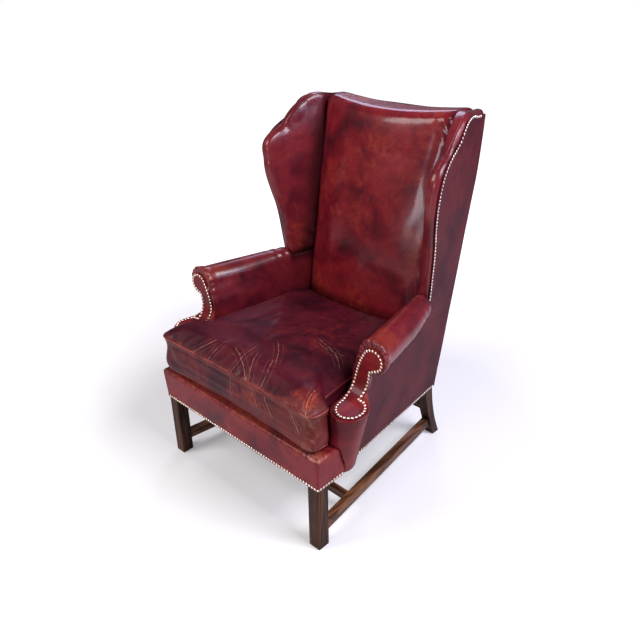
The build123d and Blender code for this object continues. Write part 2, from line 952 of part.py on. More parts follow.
# Inside back: crowned plan sections, then the crest line and the back line
def back_section(z, seam, crown):
    """Half-round-fronted plan of the inside back at a height."""
    half = seam_x - gap
    with BuildSketch(Plane.XY.offset(z)) as section:
        with BuildLine():
            ThreePointArc((-half, seam), (0, seam - crown), (half, seam))
            Polyline(
                (half, seam),
                (half, back_top_y + over),
                (-half, back_top_y + over),
                (-half, seam),
            )
        make_face()
    return section.sketch


back_pad_top = crest_end_z + over
seam_rake = (back_seam_high_y - back_seam_low_y) / (crest_end_z - back_pad_bottom)


def back_seam(z):
    return yy(back_seam_low_y) + (z - back_pad_bottom) * seam_rake


crown_at_welt = mix(back_crown_low, back_crown_mid, crown_welt_share)
crown_at_crest = mix(back_crown_high, back_crown_mid, crown_crest_share)

with BuildPart() as inside_back:
    loft(
        sections=[
            back_section(back_pad_bottom, back_seam(back_pad_bottom), back_crown_low),
            back_section(cushion_welt_z, back_seam(cushion_welt_z), crown_at_welt),
            back_section(crown_mid_z, back_seam(crown_mid_z), back_crown_mid),
            back_section(crest_rail_bottom, back_seam(crest_rail_bottom), crown_at_crest),
            back_section(back_pad_top, back_seam(back_pad_top), back_crown_high),
        ]
    )
    with BuildSketch(Plane.XZ):
        with BuildLine():
            crest_half = seam_x + over
            Polyline(
                (crest_half, crest_end_z),
                (crest_half, 0),
                (-crest_half, 0),
                (-crest_half, crest_end_z),
            )
            ThreePointArc(
                (-crest_half, crest_end_z),
                (0, crest_end_z - crest_dip),
                (crest_half, crest_end_z),
            )
        make_face()
    extrude(amount=wide, both=True, mode=Mode.INTERSECT)
    with BuildSketch(Plane.YZ.offset(-wide)):
        with BuildLine():
            behind = cover + gap
            back_edge(back_pad_bottom, crest_height, behind)
            Polyline(
                (back_y(crest_height) - behind, crest_height),
                (back_y(crest_height) - behind, back_pad_top + over),
                (front_face, back_pad_top + over),
                (front_face, back_pad_bottom),
                (back_y(back_pad_bottom) - behind, back_pad_bottom),
            )
        make_face()
    extrude(amount=2 * wide, mode=Mode.INTERSECT)
    crest_face = inside_back.faces().sort_by(Axis.Z)[-1]
    crest_edges = crest_face.edges().filter_by(GeomType.LINE, reverse=True)
    fillet(crest_edges.sort_by(Axis.Y)[0], crest_front_round)
    frame_room = back_board(back_pad_bottom - over, crest_rail_top + gap, webbing_room, wide)
    add(frame_room, mode=Mode.SUBTRACT)
keep(inside_back.part, "inside_back")

# Back webbing and hessian, in front of the back frame
with BuildPart() as back_webbing:
    web_low = back_pad_bottom + gap
    web_high = crest_rail_top - crest_rail_height / 3
    with BuildSketch(Plane.YZ.offset(-seam_x)):
        with BuildLine():
            back_edge(web_low, web_high, cover + post_depth)
            Line(
                (back_y(web_high) - cover - post_depth, web_high),
                (back_y(web_high) - cover - post_depth - strap, web_high),
            )
            back_edge(web_low, web_high, cover + post_depth + strap)
            Line(
                (back_y(web_low) - cover - post_depth - strap, web_low),
                (back_y(web_low) - cover - post_depth, web_low),
            )
        make_face()
    extrude(amount=2 * seam_x)
    web_rows = int((web_high - web_low) // (1.5 * strap_pitch))
    for row in range(web_rows):
        step = (web_high - web_low) / web_rows
        slit = step - strap_width
        with Locations((0, back_y(web_low), web_low + row * step + strap_width + slit / 2)):
            Box(4 * seam_x, 2 * wide, slit, mode=Mode.SUBTRACT)
keep(back_webbing.part, "back_webbing")

with BuildPart() as back_hessian:
    layer = cover + post_depth + strap + gap
    with BuildSketch(Plane.YZ.offset(gap - seam_x)):
        with BuildLine():
            back_edge(web_low, web_high, layer)
            Line((back_y(web_high) - layer, web_high), (back_y(web_high) - layer - hessian, web_high))
            back_edge(web_low, web_high, layer + hessian)
            Line((back_y(web_low) - layer - hessian, web_low), (back_y(web_low) - layer, web_low))
        make_face()
    extrude(amount=2 * (seam_x - gap))
keep(back_hessian.part, "back_hessian")

# Outside back: leather over card between the two sides
with BuildPart() as outside_back:
    with BuildSketch(Plane.YZ.offset(-wide)):
        with BuildLine():
            panel_top = crest_height - 2 * cover
            back_edge(leg_height, panel_top, 0)
            Line((back_y(panel_top), panel_top), (back_y(panel_top) - cover, panel_top))
            back_edge(leg_height, panel_top, cover)
            Line((foot_y - cover, leg_height), (foot_y, leg_height))
        make_face()
    extrude(amount=2 * wide)
    with BuildSketch(Plane.XZ):
        with BuildLine():
            Polyline(
                (side_x(back_y(leg_height), leg_height), leg_height),
                (side_x(back_y(side_mid_z), side_mid_z), side_mid_z),
                (side_x(back_y(panel_top), panel_top), panel_top),
                (-side_x(back_y(panel_top), panel_top), panel_top),
                (-side_x(back_y(side_mid_z), side_mid_z), side_mid_z),
                (-side_x(back_y(leg_height), leg_height), leg_height),
                close=True,
            )
        make_face()
    extrude(amount=wide, both=True, mode=Mode.INTERSECT)
keep(outside_back.part, "outside_back")

# Arm pads: the inside arm with its roll, and the part that runs back under the wing
arm_foot = rail_top + gap
arm_front = yy(arm_y) + facing_thickness + gap
arm_skin = cover + gap  # from the outer surface to the pad


def arm_section(y, roll_x, radius, notch_z):
    """The arm's section across: inside face, roll and outer face."""
    roll_z = arm_top - radius
    left = (roll_x - radius, roll_z)
    right = (roll_x + radius, roll_z)
    knee = (inner_x(y), inner_knee_z)
    turn = radians(roll_turn)
    tuck = radians(roll_tuck)
    under = (roll_x + radius * cos(tuck), roll_z - radius * sin(tuck))
    notch = (side_x(y, notch_z) - arm_skin, notch_z)
    with BuildSketch(Plane.XZ.offset(-y)) as section:
        with BuildLine():
            Line((inner_x(y), arm_foot), knee)
            ThreePointArc(
                knee,
                (
                    mix(knee[0], left[0], inner_swell_share) - inner_swell,
                    mix(knee[1], left[1], inner_swell_rise_share),
                ),
                left,
            )
            ThreePointArc(
                left,
                (roll_x - radius * sin(radians(45)), roll_z + radius * cos(radians(45))),
                (roll_x, arm_top),
            )
            ThreePointArc(
                (roll_x, arm_top),
                (roll_x + radius * sin(radians(45)), roll_z + radius * cos(radians(45))),
                right,
            )
            ThreePointArc(right, (roll_x + radius * cos(turn), roll_z - radius * sin(turn)), under)
            Line(under, notch)
            Line(notch, (side_x(y, arm_foot) - arm_skin, arm_foot))
            Line((side_x(y, arm_foot) - arm_skin, arm_foot), (inner_x(y), arm_foot))
        make_face()
    return section.sketch


def heel_section(y):
    """The arm's section under the wing."""
    with BuildSketch(Plane.XZ.offset(-y)) as section:
        with BuildLine():
            Polyline(
                (inner_x(y), arm_foot),
                (side_x(y, arm_foot) - arm_skin, arm_foot),
                (side_x(y, side_mid_z) - arm_skin, side_mid_z),
                (side_x(y, arm_wing_seat) - arm_skin, arm_wing_seat),
                (inner_x(y), arm_wing_seat),
                close=True,
            )
        make_face()
    return section.sketch


roll_end = yy(wing_neck_y) - cover  # the roll ends just in front of the wing
back_space = back_board(leg_height, crest_rail_top + gap, gap, wide)
with BuildPart() as arm_pad:
    loft(
        sections=[
            arm_section(arm_front, roll_x_front, roll_radius, notch_front_z),
            arm_section(yy(arm_mid_y), roll_x_mid, roll_radius, notch_mid_z),
            arm_section(roll_end, roll_x_back, roll_radius_back, notch_back_z),
        ]
    )
    loft(sections=[heel_section(roll_end), heel_section(back_y(arm_wing_seat))], ruled=True)
    with Locations((0, back_y(arm_foot), arm_foot)):
        Box(2 * seam_x, 2 * wide, 2 * wide, mode=Mode.SUBTRACT)
    add(back_space, mode=Mode.SUBTRACT)
    add(deck_room, mode=Mode.SUBTRACT)
    add(stump_solid(gap), mode=Mode.SUBTRACT)
    add(arm_rail_solid(gap), mode=Mode.SUBTRACT)
    add(wing_post_solid(gap), mode=Mode.SUBTRACT)
keep_pair(arm_pad.part, "arm_pad")

# Line of the facing's face, seen from the side: along the lobe, round the bend and up
face_start = yy(lobe_y - cone_radius)
lobe_slope = (lobe_back_z - lobe_front_z) / (lobe_back_y - lobe_y + cone_radius)
bend_top_z = lobe_back_z + bend_radius


def face_line(depth):
    """Edges of the facing's face line, moved in; called inside a BuildLine."""
    low = (face_start - over, lobe_front_z - over * lobe_slope - depth)
    turn_z = lobe_back_z + (arm_y - lobe_back_y + depth) * lobe_slope - depth
    FilletPolyline(
        low,
        (yy(arm_y) + depth, turn_z),
        (yy(arm_y) + depth, arm_top + over),
        radius=bend_radius + depth,
    )
    return low


def under_face(depth):
    """The space behind and below the facing's face line."""
    with BuildPart() as space:
        with BuildSketch(Plane.YZ):
            with BuildLine():
                low = face_line(depth)
                Polyline(
                    (yy(arm_y) + depth, arm_top + over),
                    (yy(arm_mid_y), arm_top + over),
                    (yy(arm_mid_y), 0),
                    (low[0], 0),
                    low,
                )
            make_face()
        extrude(amount=wide)
    return space.part


# Arm fronts: cones that lean out from the side rail to the lobe
cone_rise = lobe_back_z - leg_height
cone_back = yy(arm_y) + facing_thickness


def cone_section(z):
    """Drop-shaped plan of the arm front at a height."""
    share = (z - leg_height) / cone_rise
    x = mix(cone_foot_x, lobe_x, share)
    y = yy(mix(cone_foot_y, lobe_y, share))
    leave = radians(cone_side_turn)

    def rim(angle):
        return (x + cone_radius * cos(angle), y + cone_radius * sin(angle))

    back_in = (inner_x(cone_back), cone_back)
    back_out = (side_x(cone_back, z) - arm_skin, cone_back)
    with BuildSketch(Plane.XY.offset(z)) as section:
        with BuildLine():
            Line(back_in, rim(radians(180)))
            ThreePointArc(rim(radians(180)), rim(radians(225)), rim(radians(270)))
            ThreePointArc(rim(radians(270)), rim(mix(radians(-90), leave, 0.5)), rim(leave))
            Line(rim(leave), back_out)
            Line(back_out, back_in)
        make_face()
    return section.sketch


with BuildPart() as arm_cone:
    loft(sections=[cone_section(leg_height), cone_section(bend_top_z)], ruled=True)
    add(under_face(facing_thickness + gap), mode=Mode.INTERSECT)
    add(border_room(gap), mode=Mode.SUBTRACT)
    add(deck_room, mode=Mode.SUBTRACT)
    with Locations((0, yy(lobe_y), rail_top)):
        Box(2 * (cushion_neck_x + gap), 2 * wide, 2 * wide, mode=Mode.SUBTRACT)
keep_pair(arm_cone.part, "arm_front")

# Arm facings: keyhole panels with their nail lines


def on_circle(x, s, radius, angle):
    """A point on a circle, at an angle in degrees."""
    return (x + radius * cos(radians(angle)), s + radius * sin(radians(angle)))


lip_head = head_radius + facing_lip
lip_lobe = lobe_radius + facing_lip
lip_in = neck_in_low_x - facing_lip
lip_out = neck_out_low_x + facing_lip
with BuildPart() as keyhole:
    with BuildSketch(Plane.XZ):
        with Locations((head_x, head_z)):
            Circle(lip_head)
        with BuildLine():
            head_joint = on_circle(head_x, head_z, lip_head, head_turn)
            neck_foot_z = bend_z - facing_thickness
            ThreePointArc(
                (lip_in, neck_foot_z),
                (neck_swell_x - facing_lip, neck_swell_z),
                head_joint,
            )
            Polyline(
                head_joint,
                (head_x, head_z),
                (neck_out_high_x + facing_lip, neck_out_high_z),
                (lip_out, neck_foot_z),
                (lip_in, neck_foot_z),
            )
        make_face()
    extrude(amount=wide, both=True)
    with BuildSketch(Plane.XY):
        with Locations((lobe_x, yy(lobe_y))):
            Circle(lip_lobe)
        with BuildLine():
            Polyline(
                (lobe_x, yy(lobe_y)),
                (lip_out, yy(bend_y) + facing_thickness),
                (lip_in, yy(bend_y) + facing_thickness),
                (lip_in, yy(lobe_back_y)),
                (lobe_x - lip_lobe, yy(lobe_y)),
                close=True,
            )
        make_face()
    extrude(amount=bend_z)
with BuildPart() as arm_facing:
    add(under_face(0))
    add(under_face(facing_thickness), mode=Mode.SUBTRACT)
    add(keyhole.part, mode=Mode.INTERSECT)
keep_pair(arm_facing.part, "arm_facing")

# Wing pads: wedges between the inside face and the side panel, rounded at the front
wing_low = arm_wing_seat + gap
wing_start = yy(wing_lip_y - wing_thickness)
wing_end = back_top_y + over


def wing_plan(z):
    return (
        z,
        wing_inner_x(wing_start, z),
        side_x(wing_start, z) - arm_skin,
        wing_inner_x(wing_end, z),
        side_x(wing_end, z) - arm_skin,
    )


wing_points = [(yy(y), z) for y, z in wing_edge]
neck_foot = (yy(wing_neck_y) + gap, wing_low)


def wing_curve():
    """The wing's outline from the arm to the crest; called inside a BuildLine."""
    Spline(neck_foot, *wing_points, wing_crest, tangents=[(0, 1), (1, 0)])


with BuildPart() as wing_pad:
    add(plan_slab(wing_start, wing_end, [wing_plan(side_mid_z), wing_plan(side_high_z)]))
    with BuildSketch(Plane.YZ):
        with BuildLine():
            wing_curve()
            Polyline(
                wing_crest,
                (back_top_y - arm_skin, wing_crest[1]),
                (back_top_y - arm_skin, crest_height),
            )
            back_edge(wing_low, crest_height, arm_skin)
            Line((back_y(wing_low) - arm_skin, wing_low), neck_foot)
        make_face()
    extrude(amount=wide, mode=Mode.INTERSECT)
    lip = wing_pad.edges().filter_by(GeomType.LINE, reverse=True)
    lip = lip.filter_by(lambda edge: edge.center().Y < wing_crest[0] - wing_thickness)
    fillet(lip, wing_roll)
    with Locations((0, 0, side_high_z)):
        Box(2 * (seam_x + gap), 4 * wide, 4 * wide, mode=Mode.SUBTRACT)
    add(back_space, mode=Mode.SUBTRACT)
    add(wing_post_solid(gap), mode=Mode.SUBTRACT)
    add(wing_rail_solid(gap), mode=Mode.SUBTRACT)
keep_pair(wing_pad.part, "wing_pad")

# Side panels: leather over card from the wing's nail line down to the seat rail
with BuildLine() as wing_line:
    wing_curve()
wing_outline = wing_line.edges()[0]


def wing_inset(share, depth):
    """A point inside the wing's outline, at a share of the way from the arm to the crest."""
    point = wing_outline @ share
    along = wing_outline % share
    return (point.X + along.Y * depth, point.Y - along.X * depth)


panel_samples = 16
panel_inset = wing_nail_inset - nail_edge
panel_high = crest_height - 2 * cover
with BuildPart() as side_panel:
    add(side_slab(0, cover))
    with BuildSketch(Plane.YZ):
        with BuildLine():
            edge_points = [
                wing_inset(step / panel_samples, panel_inset) for step in range(panel_samples)
            ]
            Spline(*edge_points)
            Line(edge_points[-1], (back_y(panel_high) - arm_skin, panel_high))
            back_edge(leg_height, panel_high, arm_skin)
            Polyline(
                (foot_y - arm_skin, leg_height),
                (cone_back + gap, leg_height),
                (cone_back + gap, notch_front_z - 2 * cover),
                (yy(arm_mid_y), notch_mid_z - 2 * cover),
                (yy(wing_neck_y), arm_top - 2 * roll_radius_back - cover),
                edge_points[0],
            )
        make_face()
    extrude(amount=wide, mode=Mode.INTERSECT)
keep_pair(side_panel.part, "side_panel")

# Nails: domed heads, one group for each row
dome_radius = (nail_radius**2 + nail_dome**2) / (2 * nail_dome)
dome_turn = asin(nail_radius / dome_radius) / 2
with BuildPart() as nail_head:
    with BuildSketch(Plane.XZ):
        with BuildLine():
            Line((0, 0), (nail_radius, 0))
            ThreePointArc(
                (nail_radius, 0),
                (dome_radius * sin(dome_turn), nail_dome - dome_radius * (1 - cos(dome_turn))),
                (0, nail_dome),
            )
            Line((0, nail_dome), (0, 0))
        make_face()
    revolve(axis=Axis.Z)


def nail_row(planes):
    """Nail heads on a list of planes."""
    with BuildPart() as row:
        with Locations(*[plane.offset(nail_lift) for plane in planes]):
            add(nail_head.part)
    return row.part


def spaced(length):
    """Shares along a row that put nails a pitch apart."""
    count = max(2, round(length / nail_pitch))
    return [(step + 0.5) / count for step in range(count)]


def side_plane(y, z):
    """The plane on the outer side surface."""
    reach = nail_radius
    along = (side_x(y + reach, z) - side_x(y, z)) / reach
    up = (side_x(y, z + reach) - side_x(y, z)) / reach
    return Plane(origin=(side_x(y, z), y, z), z_dir=(1, -along, -up))


nail_z = leg_height + nail_edge
border_lean = (border_flare - border_pad) / (border_top - leg_height)
nail_proud = border_pad + (nail_z - leg_height) * border_lean
nail_half = leg_out + nail_proud
with BuildLine() as border_line:
    FilletPolyline(
        (nail_half, yy(border_side_y)),
        (nail_half, front_face - nail_proud),
        (-nail_half, front_face - nail_proud),
        (-nail_half, yy(border_side_y)),
        radius=border_corner,
    )
border_wire = border_line.wires()[0]
border_planes = []
for share in spaced(border_wire.length):
    point = border_wire @ share
    along = border_wire % share
    out = Vector(along.Y, -along.X, -border_lean)
    inward = Vector(-point.X, yy(arm_y) - point.Y)
    if out.dot(inward) > 0:
        out = Vector(-along.Y, along.X, -border_lean)
    border_planes.append(Plane(origin=(point.X, point.Y, nail_z), z_dir=out))
keep(nail_row(border_planes), "border_nails")

side_start = cone_back + nail_edge
side_end = foot_y - arm_skin - nail_edge
side_planes = [
    side_plane(mix(side_start, side_end, share), nail_z) for share in spaced(side_end - side_start)
]
keep_pair(nail_row(side_planes), "side_nails")

back_half = side_x(foot_y, leg_height) - nail_edge
back_planes = [
    Plane(
        origin=(mix(-back_half, back_half, share), back_y(nail_z), nail_z),
        z_dir=(0, 1, -tan(radians(back_rake))),
    )
    for share in spaced(2 * back_half)
]
keep(nail_row(back_planes), "back_nails")

wing_planes = []
for share in spaced(wing_outline.length):
    y, z = wing_inset(share, wing_nail_inset)
    back_line = back_y(min(z, crest_height)) - arm_skin - nail_radius
    if y < back_line and z > wing_low + nail_radius:
        wing_planes.append(side_plane(y, z))
keep_pair(nail_row(wing_planes), "wing_nails")

# Facing nails: a closed line drawn flat, x across and the length up the face line
with BuildLine() as face_curve:
    face_line(0)
face_wire = face_curve.wires()[0]


def up_face(z):
    """Length along the face line up to a height on the upright part."""
    return face_wire.length - (arm_top + over - z)


def along_lobe(y):
    """Length along the face line up to a depth on the lobe."""
    return (yy(y) - face_start + over) * (1 + lobe_slope**2) ** 0.5


with BuildLine() as keyhole_line:
    head_s = up_face(head_z)
    lobe_s = along_lobe(lobe_y)
    neck_s = along_lobe(lobe_back_y)
    lobe_in = on_circle(lobe_x, lobe_s, lobe_radius, lobe_end)
    lobe_out = on_circle(lobe_x, lobe_s, lobe_radius, lobe_turn)
    head_in = on_circle(head_x, head_s, head_radius, head_turn)
    head_out = on_circle(head_x, head_s, head_radius, head_end)
    Line(lobe_in, (neck_in_low_x, neck_s))
    ThreePointArc((neck_in_low_x, neck_s), (neck_swell_x, up_face(neck_swell_z)), head_in)
    head_top = on_circle(head_x, head_s, head_radius, mix(head_end, head_turn, 0.5))
    ThreePointArc(head_in, head_top, head_out)
    Polyline(
        head_out,
        (neck_out_high_x, up_face(neck_out_high_z)),
        (neck_out_low_x, neck_s + nail_edge),
        lobe_out,
    )
    lobe_front = on_circle(lobe_x, lobe_s, lobe_radius, mix(lobe_end, lobe_turn + 360, 0.5) - 360)
    ThreePointArc(lobe_out, lobe_front, lobe_in)
keyhole_wire = keyhole_line.wires()[0]
facing_planes = []
for share in spaced(keyhole_wire.length):
    flat = keyhole_wire @ share
    point = face_wire @ (flat.Y / face_wire.length)
    along = face_wire % (flat.Y / face_wire.length)
    facing_planes.append(Plane(origin=(flat.X, point.X, point.Y), z_dir=(0, -along.Y, along.X)))
keep_pair(nail_row(facing_planes), "facing_nails")

# Cushion: a T-shaped leather cover, crowned above its welt, drawn in below it, over a core
cushion_middle = yy(mix(cushion_front_y, cushion_back_y, 0.5))
cushion_low = deck_top + gap


def cushion_plan(z, inset, size_share):
    """The cushion's plan at a height."""

    def spot(x, y):
        return (x * size_share, cushion_middle + (yy(y) - cushion_middle) * size_share)

    ear = cushion_ear_x - inset
    neck = cushion_neck_x - inset
    back = cushion_back_x - inset
    front_y = cushion_front_y + inset
    back_line_y = cushion_back_y - inset
    ear_y = cushion_ear_back_y - inset / 2
    with BuildSketch(Plane.XY.offset(z)) as plan:
        with BuildLine():
            ThreePointArc(spot(-ear, front_y), spot(0, front_y + cushion_draw), spot(ear, front_y))
            Line(spot(ear, front_y), spot(ear, ear_y))
            Line(spot(ear, ear_y), spot(neck, cushion_neck_y))
            Line(spot(neck, cushion_neck_y), spot(back, back_line_y))
            ThreePointArc(
                spot(back, back_line_y),
                spot(0, back_line_y - cushion_draw),
                spot(-back, back_line_y),
            )
            Line(spot(-back, back_line_y), spot(-neck, cushion_neck_y))
            Line(spot(-neck, cushion_neck_y), spot(-ear, ear_y))
            Line(spot(-ear, ear_y), spot(-ear, front_y))
        make_face()
        corners = plan.vertices().group_by(Axis.Y)
        fillet(corners[0] + corners[-1], cushion_corner * size_share)
    return plan.sketch


def cushion_body(skin):
    """The cushion's solid, taken in by a skin."""
    low = cushion_low + skin
    welt = cushion_welt_z
    rise = cushion_crown - skin
    boxing = [
        cushion_plan(
            mix(low, welt, up_share),
            skin + cushion_draw * draw_share + cushion_foot_inset * foot_share,
            1,
        )
        for up_share, draw_share, foot_share in cushion_draw_shares
    ]
    crown = [
        cushion_plan(welt + rise * up_share, skin, size_share)
        for up_share, size_share in cushion_crown_shares
    ]
    with BuildPart() as body:
        loft(sections=[*boxing, cushion_plan(welt, skin, 1)])
        loft(sections=[cushion_plan(welt, skin, 1), *crown])
    return body.part


with BuildPart() as cushion_cover:
    add(cushion_body(0))
    add(cushion_body(cushion_skin), mode=Mode.SUBTRACT)
keep(cushion_cover.part, "cushion_cover")
keep(cushion_body(cushion_skin + gap), "cushion_core")
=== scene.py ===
"""Wing chair in aged oxblood leather, on mahogany legs with stretchers.

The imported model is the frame. The hard pieces keep their shape and get their finishes, and
every soft piece is rebuilt here from the space that its solid holds. Metres, +Z up, the
sitter faces -Y.
"""

import json
import logging
import math
from collections.abc import Callable, Iterable, Sequence
from dataclasses import dataclass
from enum import Enum

import bmesh
import bpy
from mathutils import Matrix, Vector, noise
from mathutils.bvhtree import BVHTree

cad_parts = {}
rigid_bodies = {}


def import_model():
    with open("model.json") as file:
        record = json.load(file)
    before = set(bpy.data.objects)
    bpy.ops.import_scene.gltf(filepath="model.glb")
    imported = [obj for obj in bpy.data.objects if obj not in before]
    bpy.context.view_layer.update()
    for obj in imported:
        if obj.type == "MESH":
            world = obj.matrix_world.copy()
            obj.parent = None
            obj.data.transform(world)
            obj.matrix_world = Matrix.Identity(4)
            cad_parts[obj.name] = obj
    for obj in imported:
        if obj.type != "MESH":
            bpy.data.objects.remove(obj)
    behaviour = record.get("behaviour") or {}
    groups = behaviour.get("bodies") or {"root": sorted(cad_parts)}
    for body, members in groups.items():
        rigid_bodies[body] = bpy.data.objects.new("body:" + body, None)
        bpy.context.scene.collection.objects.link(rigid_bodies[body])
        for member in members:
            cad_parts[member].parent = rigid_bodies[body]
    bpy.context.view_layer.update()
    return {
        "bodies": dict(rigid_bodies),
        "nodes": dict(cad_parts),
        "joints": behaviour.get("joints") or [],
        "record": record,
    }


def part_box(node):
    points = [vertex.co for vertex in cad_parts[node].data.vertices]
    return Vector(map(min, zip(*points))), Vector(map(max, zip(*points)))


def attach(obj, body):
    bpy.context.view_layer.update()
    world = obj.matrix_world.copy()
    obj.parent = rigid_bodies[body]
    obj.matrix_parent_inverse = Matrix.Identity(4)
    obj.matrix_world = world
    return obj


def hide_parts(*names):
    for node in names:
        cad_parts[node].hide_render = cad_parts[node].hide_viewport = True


LOG = logging.getLogger("wing chair")
Point = tuple[float, float, float]
Colour = tuple[float, float, float, float]
Range = tuple[float, float]
Socket = bpy.types.NodeSocket
MM = 0.001


class Side(Enum):
    """The two sides of the chair, as someone who looks at its front sees them."""

    RIGHT = 1
    LEFT = -1

    def node(self, stem: str) -> str:
        """Name of this side's CAD node."""
        return f"{stem}_{self.name.lower()}"


class Grain(Enum):
    """The way the grain runs in a piece of wood."""

    ACROSS = (0.06, 1.0, 1.0)
    DEEP = (1.0, 0.06, 1.0)
    UP = (1.0, 1.0, 0.06)


# Shared helpers


def linear(colour: str) -> Colour:
    """Turns an sRGB hex colour into the linear colour a shader takes.

    Args:
        colour: the colour as "#rrggbb".

    Returns:
        Linear red, green, blue and an alpha of 1.
    """
    values = [int(colour[i : i + 2], 16) / 255 for i in (1, 3, 5)]
    red, green, blue = (v / 12.92 if v <= 0.04045 else ((v + 0.055) / 1.055) ** 2.4 for v in values)
    return red, green, blue, 1.0


def per_metre(size_mm: float) -> float:
    """Texture scale that makes one cell of a pattern this many millimetres."""
    return 1000.0 / size_mm


@dataclass(frozen=True)
class Ease:
    """A soft rise, from 0 at one value to 1 at another."""

    none: float
    full: float

    def at(self, value: float) -> float:
        """Its height at a value."""
        share = max(0.0, min(1.0, (value - self.none) / (self.full - self.none)))
        return share * share * (3 - 2 * share)


@dataclass(frozen=True)
class Amount:
    """An amount that grows with a share: what it starts from and the most that is added."""

    least: float
    more: float

    def at(self, share: float) -> float:
        """Its size at a share."""
        return self.least + self.more * share


@dataclass(frozen=True)
class Spot:
    """A soft spot, 1 at its middle and gone a reach away."""

    middle: float
    reach: float

    def at(self, value: float) -> float:
        """Its height at a value."""
        return max(0.0, 1 - ((value - self.middle) / self.reach) ** 2) ** 2


@dataclass(frozen=True)
class Lumps:
    """Smooth unevenness: how far apart its lumps are and how high they stand."""

    apart_mm: float
    height_mm: float

    def at(self, place: Vector, seed: Point = (0.0, 0.0, 0.0)) -> float:
        """Its height at a place, in metres, with a seed that makes it another pattern."""
        return noise.noise(place * per_metre(self.apart_mm) + Vector(seed)) * self.height_mm * MM


@dataclass(frozen=True)
class Creases:
    """Thin valleys of a wandering pattern: how far apart they run, and the pattern's seed."""

    apart_mm: float
    seed: float
    thinness: float = 7.0

    def at(self, place: Vector) -> float:
        """Its depth at a place, 1 in a valley and 0 elsewhere."""
        value = noise.noise(place * per_metre(self.apart_mm) + Vector((self.seed, 0, 0)))
        return max(0.0, 1 - abs(value) * self.thinness) ** 2


@dataclass(frozen=True)
class Waves:
    """Small waves in a leather that is pulled or gathered, which stray a little.

    The turns are in radians per metre along each axis, the stray is in radians, and its rate is
    how finely it varies, per metre.
    """

    turns: Point
    stray: float
    stray_rate: float
    height_mm: float

    def wave(self, at: Vector, angle: float = 0.0) -> float:
        """Works out the wave at a point.

        Args:
            at: the point.
            angle: an angle to add, for waves that go round something.

        Returns:
            The wave, from -1 to 1.
        """
        along = sum(turn * part for turn, part in zip(self.turns, at))
        return math.sin(along + angle + noise.noise(at * self.stray_rate) * self.stray)

    def at(self, at: Vector, angle: float = 0.0) -> float:
        """Its height at a point, in metres."""
        return self.wave(at, angle) * self.height_mm * MM


# Finishes


